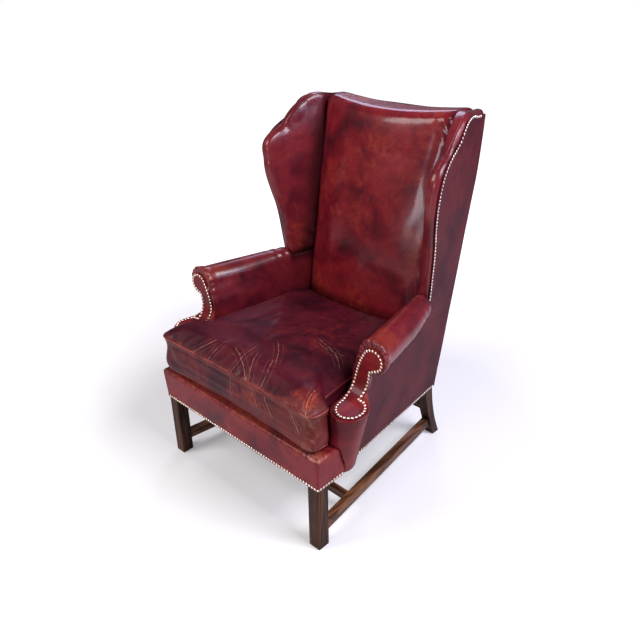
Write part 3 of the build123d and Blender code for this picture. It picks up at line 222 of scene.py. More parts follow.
class Shade:
    """A material's node tree, with short ways to add patterns and maths to it."""

    def __init__(self, tree: bpy.types.NodeTree) -> None:
        """Starts on an empty tree.

        Args:
            tree: the node tree.
        """
        self.tree = tree
        tree.nodes.clear()

    def put(self, kind: str, inputs: dict | None = None, **settings: object) -> bpy.types.Node:
        """Adds a node with its settings, values and links.

        Args:
            kind: the node's type name.
            inputs: a value or an output socket for each named or numbered input.
            settings: attributes of the node itself.

        Returns:
            The new node.
        """
        node = self.tree.nodes.new(kind)
        for name, value in settings.items():
            setattr(node, name, value)
        for name, value in (inputs or {}).items():
            if isinstance(value, Socket):
                self.tree.links.new(value, node.inputs[name])
            else:
                node.inputs[name].default_value = value
        return node

    def where(self) -> Socket:
        """Places on the object itself, in metres."""
        return self.put("ShaderNodeTexCoord").outputs["Object"]

    def mark(self, name: str) -> Socket:
        """A number painted on the piece."""
        return self.put("ShaderNodeAttribute", attribute_name=name).outputs["Fac"]

    def sum(self, operation: str, first: float | Socket, second: float | Socket = 0.0,
            clamp: bool = False) -> Socket:
        """Works out one step of maths on two values or sockets.

        Args:
            operation: the name of the operation.
            first: the first value or socket.
            second: the second value or socket.
            clamp: whether the result is kept between 0 and 1.

        Returns:
            The result.
        """
        inputs = {0: first, 1: second}
        return self.put("ShaderNodeMath", inputs, operation=operation, use_clamp=clamp).outputs[0]

    def noise(self, where: Socket, size_mm: float, detail: float = 4.0, roughness: float = 0.6,
              distortion: float = 0.0) -> Socket:
        """Cloudy noise of a given size."""
        inputs = {"Vector": where, "Scale": per_metre(size_mm), "Detail": detail, "Roughness": roughness,
                  "Distortion": distortion}
        return self.put("ShaderNodeTexNoise", inputs).outputs["Fac"]

    def cells(self, where: Socket, size_mm: float) -> Socket:
        """Distance to the nearest border of a cell pattern of a given size."""
        inputs = {"Vector": where, "Scale": per_metre(size_mm)}
        return self.put("ShaderNodeTexVoronoi", inputs, feature="DISTANCE_TO_EDGE").outputs["Distance"]

    def warp(self, where: Socket, size_mm: float, reach_mm: float) -> Socket:
        """Shifts places about, so that patterns on them wander.

        Args:
            where: the places.
            size_mm: how far apart the shifts change.
            reach_mm: the furthest shift.

        Returns:
            The shifted places.
        """
        drift = self.put("ShaderNodeTexNoise", {"Vector": where, "Scale": per_metre(size_mm), "Detail": 3.0})
        middle = self.put("ShaderNodeVectorMath", {0: drift.outputs["Color"], 1: (0.5, 0.5, 0.5)},
                          operation="SUBTRACT").outputs[0]
        shift = self.put("ShaderNodeVectorMath", {0: middle, "Scale": 2 * reach_mm * MM}, operation="SCALE")
        return self.put("ShaderNodeVectorMath", {0: where, 1: shift.outputs[0]}, operation="ADD").outputs[0]

    def span(self, value: Socket, low: float, high: float, start: float = 0.0,
             end: float = 1.0) -> Socket:
        """Stretches a range of values over another range."""
        inputs = {"Value": value, "From Min": low, "From Max": high, "To Min": start, "To Max": end}
        return self.put("ShaderNodeMapRange", inputs).outputs[0]

    def mix(self, factor: Socket, first: Colour | Socket, second: Colour | Socket) -> Socket:
        """Mixes two colours by a factor."""
        return self.put("ShaderNodeMix", {0: factor, 6: first, 7: second}, data_type="RGBA").outputs[2]

    def ramp(self, factor: Socket, stops: Iterable[tuple[float, str]]) -> Socket:
        """Colours a factor through a ramp.

        Args:
            factor: the socket that drives the ramp.
            stops: position and hex colour of each stop.

        Returns:
            The ramp's colour.
        """
        node = self.put("ShaderNodeValToRGB", {"Fac": factor})
        elements = node.color_ramp.elements
        stops = list(stops)
        while len(elements) < len(stops):
            elements.new(0.5)
        for element, (position, colour) in zip(elements, stops):
            element.position = position
            element.color = linear(colour)
        return node.outputs["Color"]

    def bump(self, height: Socket, depth_mm: float, strength: float,
             under: Socket | None = None) -> Socket:
        """Raises the surface by a pattern.

        Args:
            height: the pattern.
            depth_mm: how deep it goes.
            strength: how much of it shows.
            under: another relief that this one lies over.

        Returns:
            The surface's normal.
        """
        inputs = {"Height": height, "Distance": depth_mm * MM, "Strength": strength}
        if under is not None:
            inputs["Normal"] = under
        return self.put("ShaderNodeBump", inputs).outputs[0]


def surfaced(name: str, draw: Callable[[Shade], dict]) -> bpy.types.Material:
    """Makes a material from what a finish draws.

    Args:
        name: the material's name.
        draw: adds the patterns and gives the shader's inputs.

    Returns:
        The material.
    """
    material = bpy.data.materials.new(name)
    material.use_nodes = True
    shade = Shade(material.node_tree)
    shader = shade.put("ShaderNodeBsdfPrincipled", draw(shade))
    shade.put("ShaderNodeOutputMaterial", {"Surface": shader.outputs["BSDF"]})
    return material


@dataclass(frozen=True)
class Scratch:
    """One long scratch on the unrolled top of the cushion, in metres."""

    start: tuple[float, float]
    end: tuple[float, float]
    bend: float = 0.06
    width_mm: float = 1.0
    spacing_mm: float = 7.0


@dataclass(frozen=True)
class AntiquedLeather:
    """Hand-antiqued cowhide: dyed oxblood, rubbed back and glazed.

    The rubbed places go orange-brown. The crackle lines, faint dark clouds and the painted shade in
    folds, seams and low places go towards near black, and the glaze gives a clear, slightly broken
    shine over a fine pebble grain.
    """

    name: str
    deep: str = "#3a0c15"
    body: str = "#5a1420"
    bright: str = "#6f1c26"
    rubbed: str = "#963a1c"
    pale: str = "#cf9a80"
    # Near black: the crackle lines, and the painted shade in folds, seams and low places
    painted_shade_and_dark_marks: str = "#17060a"
    blotch_mm: float = 110.0
    mottle_mm: float = 30.0
    grain_mm: float = 3.0  # real pebble grain is about 1 mm, drawn coarser so that it shows
    crackle_mm: float = 13.0
    wander_mm: tuple[float, float] = (40.0, 10.0)
    torn_mm: float = 9.0
    stray_mm: tuple[float, float] = (34.0, 3.2)
    break_mm: float = 13.0
    rub_level: float = 0.12
    gloss: float = 0.33
    gloss_spread: float = 0.20
    glaze: float = 0.38
    glaze_gloss: float = 0.12
    shine: float = 0.24
    scratches: tuple[Scratch, ...] = ()
    # Each pattern's detail and roughness, and its distortion where it has one
    blotch_noise: Point = (5.0, 0.58, 0.35)
    mottle_noise: Point = (7.0, 0.66, 0.8)
    break_noise: Range = (5.0, 0.7)
    # The levels of a pattern over which something comes in
    tone_stops: tuple[float, ...] = (0.27, 0.43, 0.58, 0.72)
    rub_mottle: Range = (0.44, 0.66)
    rub_blotch: Range = (0.38, 0.62)
    worn_rub: Range = (0.75, 1.6)
    crackle_mottle: Range = (0.48, 0.62)
    torn_span: Range = (0.38, 0.60)
    break_span: Range = (0.38, 0.55)
    scratch_fade: Range = (0.5, 2.6)
    scratch_end: float = 0.12
    crackle_width: float = 0.06
    grain_width: float = 0.25
    # How strong each effect is
    worn_most: float = 0.75
    crackle_dark: float = 0.25
    scuff_pale: float = 0.72
    scuff_rough: float = 0.3
    # How deep each relief goes in millimetres, and how much of it shows
    grain_relief: Range = (0.25, 0.22)
    crackle_relief: Range = (0.35, 0.45)
    scuff_relief: Range = (0.5, 0.4)
    blotch_relief: Range = (3.0, 0.3)

    def scratched(self, shade: Shade) -> Socket:
        """Draws the scratches, each with fainter ones beside it.

        Args:
            shade: the material's tree.

        Returns:
            How scratched each place is.
        """
        laid = shade.put("ShaderNodeAttribute", attribute_name="laid").outputs["Vector"]
        wandering = shade.warp(laid, *self.stray_mm)
        broken = shade.span(shade.noise(laid, self.break_mm, *self.break_noise), *self.break_span)
        total = None
        for scratch in self.scratches:
            first, last = Vector(scratch.start), Vector(scratch.end)
            length = (last - first).length
            turn = math.atan2(last.y - first.y, last.x - first.x)
            inputs = {"Vector": wandering, "Location": (*first, 0.0), "Rotation": (0.0, 0.0, turn),
                      "Scale": (length, length, 1.0)}
            along = shade.put("ShaderNodeMapping", inputs, vector_type="TEXTURE").outputs[0]
            parts = shade.put("ShaderNodeSeparateXYZ", {0: along})
            rest = shade.sum("SUBTRACT", 1.0, parts.outputs[0])
            bow = shade.sum("MULTIPLY", shade.sum("MULTIPLY", parts.outputs[0], rest), 4 * scratch.bend)
            across = shade.sum("SUBTRACT", parts.outputs[1], bow)
            spacing = scratch.spacing_mm * MM / length
            near = shade.sum("PINGPONG", across, spacing)
            line = shade.span(near, 0.0, scratch.width_mm * MM / length, 1.0, 0.0)
            apart = shade.sum("ABSOLUTE", across)
            inner, outer = (spacing * share for share in self.scratch_fade)
            fade = shade.span(apart, inner, outer, 1.0, 0.0)
            ends = shade.span(shade.sum("MINIMUM", parts.outputs[0], rest), 0.0, self.scratch_end)
            mask = shade.sum("MULTIPLY", shade.sum("MULTIPLY", line, fade), ends)
            total = mask if total is None else shade.sum("MAXIMUM", total, mask)
        return shade.sum("MULTIPLY", total, broken)

    def draw(self, shade: Shade) -> dict:
        """Draws the leather.

        Args:
            shade: the material's tree.

        Returns:
            The shader's inputs.
        """
        where = shade.where()
        blotch = shade.noise(where, self.blotch_mm, *self.blotch_noise)
        mottle = shade.noise(where, self.mottle_mm, *self.mottle_noise)
        tone = shade.ramp(blotch, zip(self.tone_stops, (self.deep, self.body, self.bright, self.body)))
        rub = shade.sum("ADD", shade.mark("rub"), self.rub_level)
        patchy = shade.sum("MULTIPLY", shade.span(mottle, *self.rub_mottle),
                           shade.span(blotch, *self.rub_blotch))
        worn = shade.span(rub, *self.worn_rub, 0.0, self.worn_most)
        rub = shade.sum("MAXIMUM", shade.sum("MULTIPLY", patchy, rub, clamp=True), worn)
        tone = shade.mix(rub, tone, linear(self.rubbed))
        wandering = shade.warp(where, *self.wander_mm)
        crackle = shade.span(shade.cells(wandering, self.crackle_mm), 0.0, self.crackle_width, 1.0, 0.0)
        crackle = shade.sum("MULTIPLY", crackle, shade.span(mottle, *self.crackle_mottle))
        cracked = shade.sum("MULTIPLY", crackle, self.crackle_dark)
        # The dark mark paints shade into the colour, in folds, at seams and low down, with the crackle
        darkening_with_painted_shade = shade.sum("ADD", cracked, shade.mark("painted_shade_and_dark_marks"), clamp=True)
        tone = shade.mix(darkening_with_painted_shade, tone, linear(self.painted_shade_and_dark_marks))
        torn = shade.span(shade.noise(where, self.torn_mm), *self.torn_span)
        # The scuff mark is wear, except on the front border, where it is a painted highlight
        scuff = shade.sum("MULTIPLY", torn, shade.mark("scuff"))
        if self.scratches:
            scuff = shade.sum("MAXIMUM", scuff, self.scratched(shade))
        pale = shade.sum("MULTIPLY", scuff, self.scuff_pale, clamp=True)
        tone = shade.mix(pale, tone, linear(self.pale))
        spread = shade.sum("MULTIPLY", mottle, self.gloss_spread)
        rough = shade.sum("ADD", spread, self.gloss - self.gloss_spread / 2)
        rough = shade.sum("ADD", rough, shade.sum("MULTIPLY", scuff, self.scuff_rough), clamp=True)
        grain = shade.span(shade.cells(wandering, self.grain_mm), 0.0, self.grain_width)
        relief = shade.bump(grain, *self.grain_relief)
        relief = shade.bump(shade.sum("MULTIPLY", crackle, -1.0), *self.crackle_relief, relief)
        relief = shade.bump(shade.sum("MULTIPLY", scuff, -1.0), *self.scuff_relief, relief)
        relief = shade.bump(blotch, *self.blotch_relief, relief)
        return {"Base Color": tone, "Roughness": rough, "Normal": relief, "Specular IOR Level": self.shine,
                "Coat Weight": self.glaze, "Coat Roughness": self.glaze_gloss}

    def material(self) -> bpy.types.Material:
        """Builds the material from a piece's rub, scuff and dark marks, the dark one mostly painted shade.
        """
        return surfaced(self.name, self.draw)


@dataclass(frozen=True)
class PolishedWood:
    """Planed hardwood, stained and French polished: long grain, dark pores, a soft shine."""

    name: str
    grain: Grain
    dark: str = "#1a0e09"
    body: str = "#331e16"
    light: str = "#5f3a25"
    figure_mm: float = 22.0
    pore_mm: float = 1.6  # real pores are about 0.2 mm wide, drawn coarser so that they show
    gloss: float = 0.36
    shine: float = 0.10
    polish: float = 0.05
    polish_gloss: float = 0.12
    figure_noise: Point = (6.0, 0.6, 1.4)
    pore_noise: Range = (2.0, 0.5)
    tone_stops: tuple[float, ...] = (0.28, 0.48, 0.66, 0.80)
    pore_span: Range = (0.30, 0.44)
    pore_dark: float = 0.55
    pore_relief: Range = (0.2, 0.25)
    gloss_apart: Range = (-0.06, 0.12)

    def draw(self, shade: Shade) -> dict:
        """Draws the wood.

        Args:
            shade: the material's tree.

        Returns:
            The shader's inputs.
        """
        inputs = {"Vector": shade.where(), "Scale": self.grain.value}
        along = shade.put("ShaderNodeMapping", inputs).outputs[0]
        figure = shade.noise(along, self.figure_mm, *self.figure_noise)
        pores = shade.noise(along, self.pore_mm, *self.pore_noise)
        tone = shade.ramp(figure, zip(self.tone_stops, (self.dark, self.body, self.light, self.body)))
        tone = shade.mix(shade.span(pores, *self.pore_span, self.pore_dark, 0.0), tone, linear(self.dark))
        rough = shade.span(figure, 0.0, 1.0, *(self.gloss + apart for apart in self.gloss_apart))
        return {"Base Color": tone, "Roughness": rough, "Normal": shade.bump(pores, *self.pore_relief),
                "Specular IOR Level": self.shine, "Coat Weight": self.polish,
                "Coat Roughness": self.polish_gloss}

    def material(self) -> bpy.types.Material:
        """Builds the material."""
        return surfaced(f"{self.name}_{self.grain.name.lower()}", self.draw)


@dataclass(frozen=True)
class AgedBrass:
    """Stamped brass nail heads, lacquer gone: pale where rubbed, dull brown in between."""

    name: str = "aged_brass_pale"
    bright: str = "#f3ead6"
    dull: str = "#a8926a"
    stain_mm: float = 5.0
    stain_detail: float = 3.0
    each_share: float = 0.35
    tone_stops: Point = (0.35, 0.60, 0.85)
    gloss: Range = (0.42, 0.24)

    def draw(self, shade: Shade) -> dict:
        """Draws the brass, a little different on each nail.

        Args:
            shade: the material's tree.

        Returns:
            The shader's inputs.
        """
        each = shade.put("ShaderNodeNewGeometry").outputs["Random Per Island"]
        stain = shade.noise(shade.where(), self.stain_mm, self.stain_detail)
        mixed = shade.sum("ADD", shade.sum("MULTIPLY", each, self.each_share), stain)
        tone = shade.ramp(mixed, zip(self.tone_stops, (self.dull, self.bright, self.bright)))
        return {"Base Color": tone, "Roughness": shade.span(stain, 0.0, 1.0, *self.gloss), "Metallic": 1.0}

    def material(self) -> bpy.types.Material:
        """Builds the material."""
        return surfaced(self.name, self.draw)


@dataclass(frozen=True)
class WovenCloth:
    """Plain-woven cloth: threads over and under, matt, with a little slub."""

    name: str
    thread: str
    shadow: str
    thread_mm: float = 2.4  # real threads are 0.5 to 1.5 mm apart, drawn coarser so that they show
    relief_mm: float = 0.4
    relief_share: float = 0.6
    band_share: float = 1 / 6.4  # a wave texture's own scale for one thread
    wander: float = 0.6
    slub_mm: float = 14.0
    tone_stops: Range = (0.02, 0.40)
    gloss: float = 0.9
    sheen: float = 0.2

    def draw(self, shade: Shade) -> dict:
        """Draws the cloth.

        Args:
            shade: the material's tree.

        Returns:
            The shader's inputs.
        """
        where = shade.where()
        waves = []
        for direction in ("X", "Y"):
            inputs = {"Vector": where, "Scale": per_metre(self.thread_mm) * self.band_share,
                      "Distortion": self.wander, "Detail": 1.0}
            wave = shade.put("ShaderNodeTexWave", inputs, bands_direction=direction)
            waves.append(wave.outputs["Fac"])
        weave = shade.sum("MULTIPLY", waves[0], waves[1])
        mixed = shade.sum("MULTIPLY", weave, shade.noise(where, self.slub_mm))
        tone = shade.ramp(mixed, zip(self.tone_stops, (self.shadow, self.thread)))
        relief = shade.bump(weave, self.relief_mm, self.relief_share)
        return {"Base Color": tone, "Normal": relief, "Roughness": self.gloss, "Sheen Weight": self.sheen}

    def material(self) -> bpy.types.Material:
        """Builds the material."""
        return surfaced(self.name, self.draw)


@dataclass(frozen=True)
class DrawnSteel:
    """Drawn spring wire with a thin copper wash, dulled."""

    name: str = "spring_wire_coppered"
    wire: str = "#8d7a6a"
    stain: str = "#5b4536"
    stain_mm: float = 12.0
    tone_stops: Range = (0.40, 0.60)
    gloss: float = 0.42

    def draw(self, shade: Shade) -> dict:
        """Draws the wire.

        Args:
            shade: the material's tree.

        Returns:
            The shader's inputs.
        """
        stain = shade.noise(shade.where(), self.stain_mm)
        tone = shade.ramp(stain, zip(self.tone_stops, (self.stain, self.wire)))
        return {"Base Color": tone, "Metallic": 1.0, "Roughness": self.gloss}

    def material(self) -> bpy.types.Material:
        """Builds the material."""
        return surfaced(self.name, self.draw)


# Mesh work


class Bench:
    """Where pieces are made from the space that their solids hold."""

    relax_share: float = 0.6
    puff_steps: int = 20
    puff_cloth: dict[str, float] = {
        "quality": 5,
        "mass": 0.3,
        "tension_stiffness": 12,
        "compression_stiffness": 12,
        "bending_stiffness": 0.8,
        "use_pressure": True,
    }

    def __init__(self, frame: dict) -> None:
        """Keeps the frame and starts with no pieces.

        Args:
            frame: what the frame's load returned.
        """
        self.frame = frame
        self.made: list[str] = []

    def fresh(self, name: str, data: bpy.types.ID) -> bpy.types.Object:
        """Adds an object to the scene.

        Args:
            name: the piece's name.
            data: its mesh or curve.

        Returns:
            The new object, at the origin.
        """
        thing = bpy.data.objects.new(name, data)
        bpy.context.scene.collection.objects.link(thing)
        return thing

    def settled(self, thing: bpy.types.Object) -> bpy.types.Object:
        """Applies a piece's modifiers.

        Args:
            thing: the piece.

        Returns:
            The same piece with the result as its mesh.
        """
        graph = bpy.context.evaluated_depsgraph_get()
        graph.update()
        mesh = bpy.data.meshes.new_from_object(thing.evaluated_get(graph))
        thing.modifiers.clear()
        thing.data = mesh
        return thing

    def stuffed(self, node: str, name: str, voxel_mm: float, passes: int) -> bpy.types.Object:
        """Makes a closed, evenly meshed, soft-edged piece in a node's space.

        Args:
            node: the CAD node.
            name: the piece's name.
            voxel_mm: size of its mesh cells.
            passes: how often the surface is relaxed, which rounds its edges.

        Returns:
            The piece.
        """
        thing = self.fresh(name, self.frame["nodes"][node].data.copy())
        thing.data.materials.clear()
        remesh = thing.modifiers.new("even", "REMESH")
        remesh.mode = "VOXEL"
        remesh.voxel_size = voxel_mm * MM
        self.relax(thing, passes)
        return thing

    def relax(self, thing: bpy.types.Object, passes: int) -> None:
        """Evens out a piece's surface.

        Args:
            thing: the piece.
            passes: how often.
        """
        smooth = thing.modifiers.new("even out", "SMOOTH")
        smooth.factor = self.relax_share
        smooth.iterations = passes
        self.settled(thing)
        thing.data.shade_smooth()

    def panelled(self, node: str, name: str, step_mm: float, axes: str,
                 crease: float = 35.0) -> bpy.types.Object:
        """Makes a thin piece in a node's space, its faces cut into a grid.

        Args:
            node: the CAD node.
            name: the piece's name.
            step_mm: spacing of the grid.
            axes: the axes that the cuts step along.
            crease: edges sharper than this many degrees stay sharp.

        Returns:
            The piece.
        """
        thing = self.fresh(name, self.frame["nodes"][node].data.copy())
        thing.data.materials.clear()
        shape = bmesh.new()
        shape.from_mesh(thing.data)
        bmesh.ops.remove_doubles(shape, verts=shape.verts, dist=0.01 * MM)
        bmesh.ops.dissolve_limit(shape, angle_limit=math.radians(0.8), verts=shape.verts, edges=shape.edges)
        low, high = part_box(node)
        for letter in axes:
            axis = "xyz".index(letter)
            count = int((high[axis] - low[axis]) / (step_mm * MM))
            normal = Vector([float(i == axis) for i in range(3)])
            for index in range(1, count + 1):
                at = normal * (low[axis] + (high[axis] - low[axis]) * index / (count + 1))
                everything = shape.verts[:] + shape.edges[:] + shape.faces[:]
                bmesh.ops.bisect_plane(shape, geom=everything, dist=1e-6, plane_co=at, plane_no=normal)
        bmesh.ops.triangulate(shape, faces=[f for f in shape.faces if len(f.verts) > 4])
        shape.to_mesh(thing.data)
        shape.free()
        thing.data.shade_smooth()
        thing.data.set_sharp_from_angle(angle=math.radians(crease))
        return thing

    def sculpt(self, thing: bpy.types.Object, shift: Callable[[Vector, Vector], Vector]) -> None:
        """Moves each point of a piece.

        Args:
            thing: the piece.
            shift: gives a point's move from its place and its normal.
        """
        mesh = thing.data
        moves = [shift(v.co, v.normal) for v in mesh.vertices]
        for vertex, move in zip(mesh.vertices, moves):
            vertex.co += move
        mesh.update()

    def mark(self, thing: bpy.types.Object, name: str, amount: Callable[[Vector, Vector], float]) -> None:
        """Paints a mark that the leather reads.

        Args:
            thing: the piece.
            name: which mark: the rub, the scuff (on the border a painted highlight) or the dark mark (mostly
                painted shade).
            amount: gives the mark at a point, from its place and its normal.
        """
        values = [max(0.0, min(1.0, amount(v.co, v.normal))) for v in thing.data.vertices]
        layer = thing.data.attributes.new(name, "FLOAT", "POINT")
        layer.data.foreach_set("value", values)

    def puff(self, thing: bpy.types.Object, pressure: float, cap: Point) -> None:
        """Blows a piece up a little as cloth, and keeps it near its space.

        Args:
            thing: the piece.
            pressure: the air pressure inside.
            cap: the furthest a point may move along each axis, in metres.
        """
        rest = [v.co.copy() for v in thing.data.vertices]
        cloth = thing.modifiers.new("puff", "CLOTH")
        settings = cloth.settings
        for name, value in self.puff_cloth.items():
            setattr(settings, name, value)
        settings.uniform_pressure_force = pressure
        settings.effector_weights.gravity = 0
        cloth.point_cache.frame_start = 1
        cloth.point_cache.frame_end = self.puff_steps
        for step in range(1, self.puff_steps + 1):
            bpy.context.scene.frame_set(step)
        self.settled(thing)
        bpy.context.scene.frame_set(1)
        for vertex, start in zip(thing.data.vertices, rest):
            for axis in range(3):
                move = max(-cap[axis], min(cap[axis], vertex.co[axis] - start[axis]))
                vertex.co[axis] = start[axis] + move
        thing.data.update()

    def welt(self, name: str, points: Sequence[Vector], radius_mm: float,
             closed: bool = False) -> bpy.types.Object:
        """Makes a sewn cord or raised seam along points.

        Args:
            name: the piece's name.
            points: where it runs.
            radius_mm: its radius.
            closed: whether it closes on itself.

        Returns:
            The piece.
        """
        curve = bpy.data.curves.new(name, "CURVE")
        curve.dimensions = "3D"
        curve.bevel_depth = radius_mm * MM
        curve.bevel_resolution = 2
        curve.use_fill_caps = True
        spline = curve.splines.new("POLY")
        spline.points.add(len(points) - 1)
        for target, point in zip(spline.points, points):
            target.co = (*point, 1.0)
        spline.use_cyclic_u = closed
        spline.use_smooth = True
        return self.fresh(name, curve)

    def tree(self, thing: bpy.types.Object) -> BVHTree:
        """Search tree of a piece's surface."""
        return BVHTree.FromPolygons([v.co for v in thing.data.vertices],
                                    [p.vertices for p in thing.data.polygons])

    def on_surface(self, thing: bpy.types.Object, points: Sequence[Vector], lift_mm: float) -> list[Vector]:
        """Lays points on a piece's surface.

        Args:
            thing: the piece.
            points: the points to lay.
            lift_mm: how far above the surface they end.

        Returns:
            The laid points.
        """
        tree = self.tree(thing)
        laid = []
        for point in points:
            place, normal, _, _ = tree.find_nearest(point)
            laid.append(place + normal * lift_mm * MM)
        return laid

    def dress(self, thing: bpy.types.Object, material: bpy.types.Material, body: str,
              nodes: Sequence[str] = ()) -> bpy.types.Object:
        """Finishes a piece: its material, what it rides on and what it stands for.

        Args:
            thing: the piece.
            material: its finish.
            body: the body it rides on.
            nodes: the CAD nodes it replaces.

        Returns:
            The piece.
        """
        thing.data.materials.clear()
        thing.data.materials.append(material)
        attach(thing, body)
        if nodes:
            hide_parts(*nodes)
        self.made.append(thing.name)
        LOG.info("made %s", thing.name)
        return thing


def near_line(at: Vector, start: Point, end: Point) -> float:
    """Measures from a point to a line between two places.

    Args:
        at: the point.
        start: one end of the line.
        end: its other end.

    Returns:
        The distance in metres.
    """
    first, last = Vector(start), Vector(end)
    span = last - first
    share = max(0.0, min(1.0, (at - first).dot(span) / span.length_squared))
    return (at - first - span * share).length


# Sub-assemblies


@dataclass
class Underframe:
    """Legs, stretchers and the hidden frame: solids that only need their finish."""

    upright: tuple[str, ...] = ("front_leg", "rear_leg")
    deep: tuple[str, ...] = ("side_stretcher",)
    across: tuple[str, ...] = ("cross_stretcher", "rear_stretcher")

    def by_slot(self) -> dict[str, bpy.types.Material]:
        """Makes the finishes that go by the record's slot.

        Returns:
            The material of each slot.
        """
        beech = PolishedWood("beech_planed", Grain.ACROSS, dark="#8a6238", body="#b58a5a", light="#cfa878",
                             gloss=0.6, polish=0.0)
        finishes = {
            "frame_wood": beech,
            "webbing": WovenCloth("jute_webbing", "#a8905f", "#4f3f26"),
            "hessian": WovenCloth("hessian_cloth", "#b29a6c", "#5a4829", thread_mm=3.0),
            "deck_cloth": WovenCloth("black_platform_cloth", "#2b2826", "#0d0c0b"),
            "spring_steel": DrawnSteel(),
            "nails": AgedBrass(),
        }
        return {slot: finish.material() for slot, finish in finishes.items()}

    def mahogany(self) -> dict[str, bpy.types.Material]:
        """Makes the mahogany, darker on the legs; the stretchers' lighter copy is painted light.

        Returns:
            The material of each kind of piece.
        """
        legs = PolishedWood("mahogany_french_polished", Grain.UP).material()
        finishes = {stem: legs for stem in self.upright}
        for grain, stems in ((Grain.DEEP, self.deep), (Grain.ACROSS, self.across)):
            # The stretchers' lighter copy of the mahogany is painted light
            rubbed = PolishedWood("mahogany_painted_lighter", grain, dark="#24130b", body="#4a2b1c", light="#84563a",
                                  shine=0.2).material()
            finishes |= {stem: rubbed for stem in stems}
        return finishes

    def build(self, bench: Bench) -> None:
        """Gives every remaining hard node its finish.

        Args:
            bench: the bench.
        """
        mahogany, by_slot = self.mahogany(), self.by_slot()
        slots = {entry["node"]: entry["material_slot"] for entry in bench.frame["record"]["subparts"]}
        for node, thing in bench.frame["nodes"].items():
            stem = node.removesuffix("_left").removesuffix("_right")
            material = mahogany.get(stem) or by_slot.get(slots[node])
            if material is None:
                continue
            thing.data.materials.clear()
            thing.data.materials.append(material)
            LOG.info("finished %s", node)


@dataclass(frozen=True)
class Seam:
    """A line sewn round the cushion: how far over the welt, how thick, how proud."""

    name: str
    rise: float
    radius_mm: float
    proud_mm: float


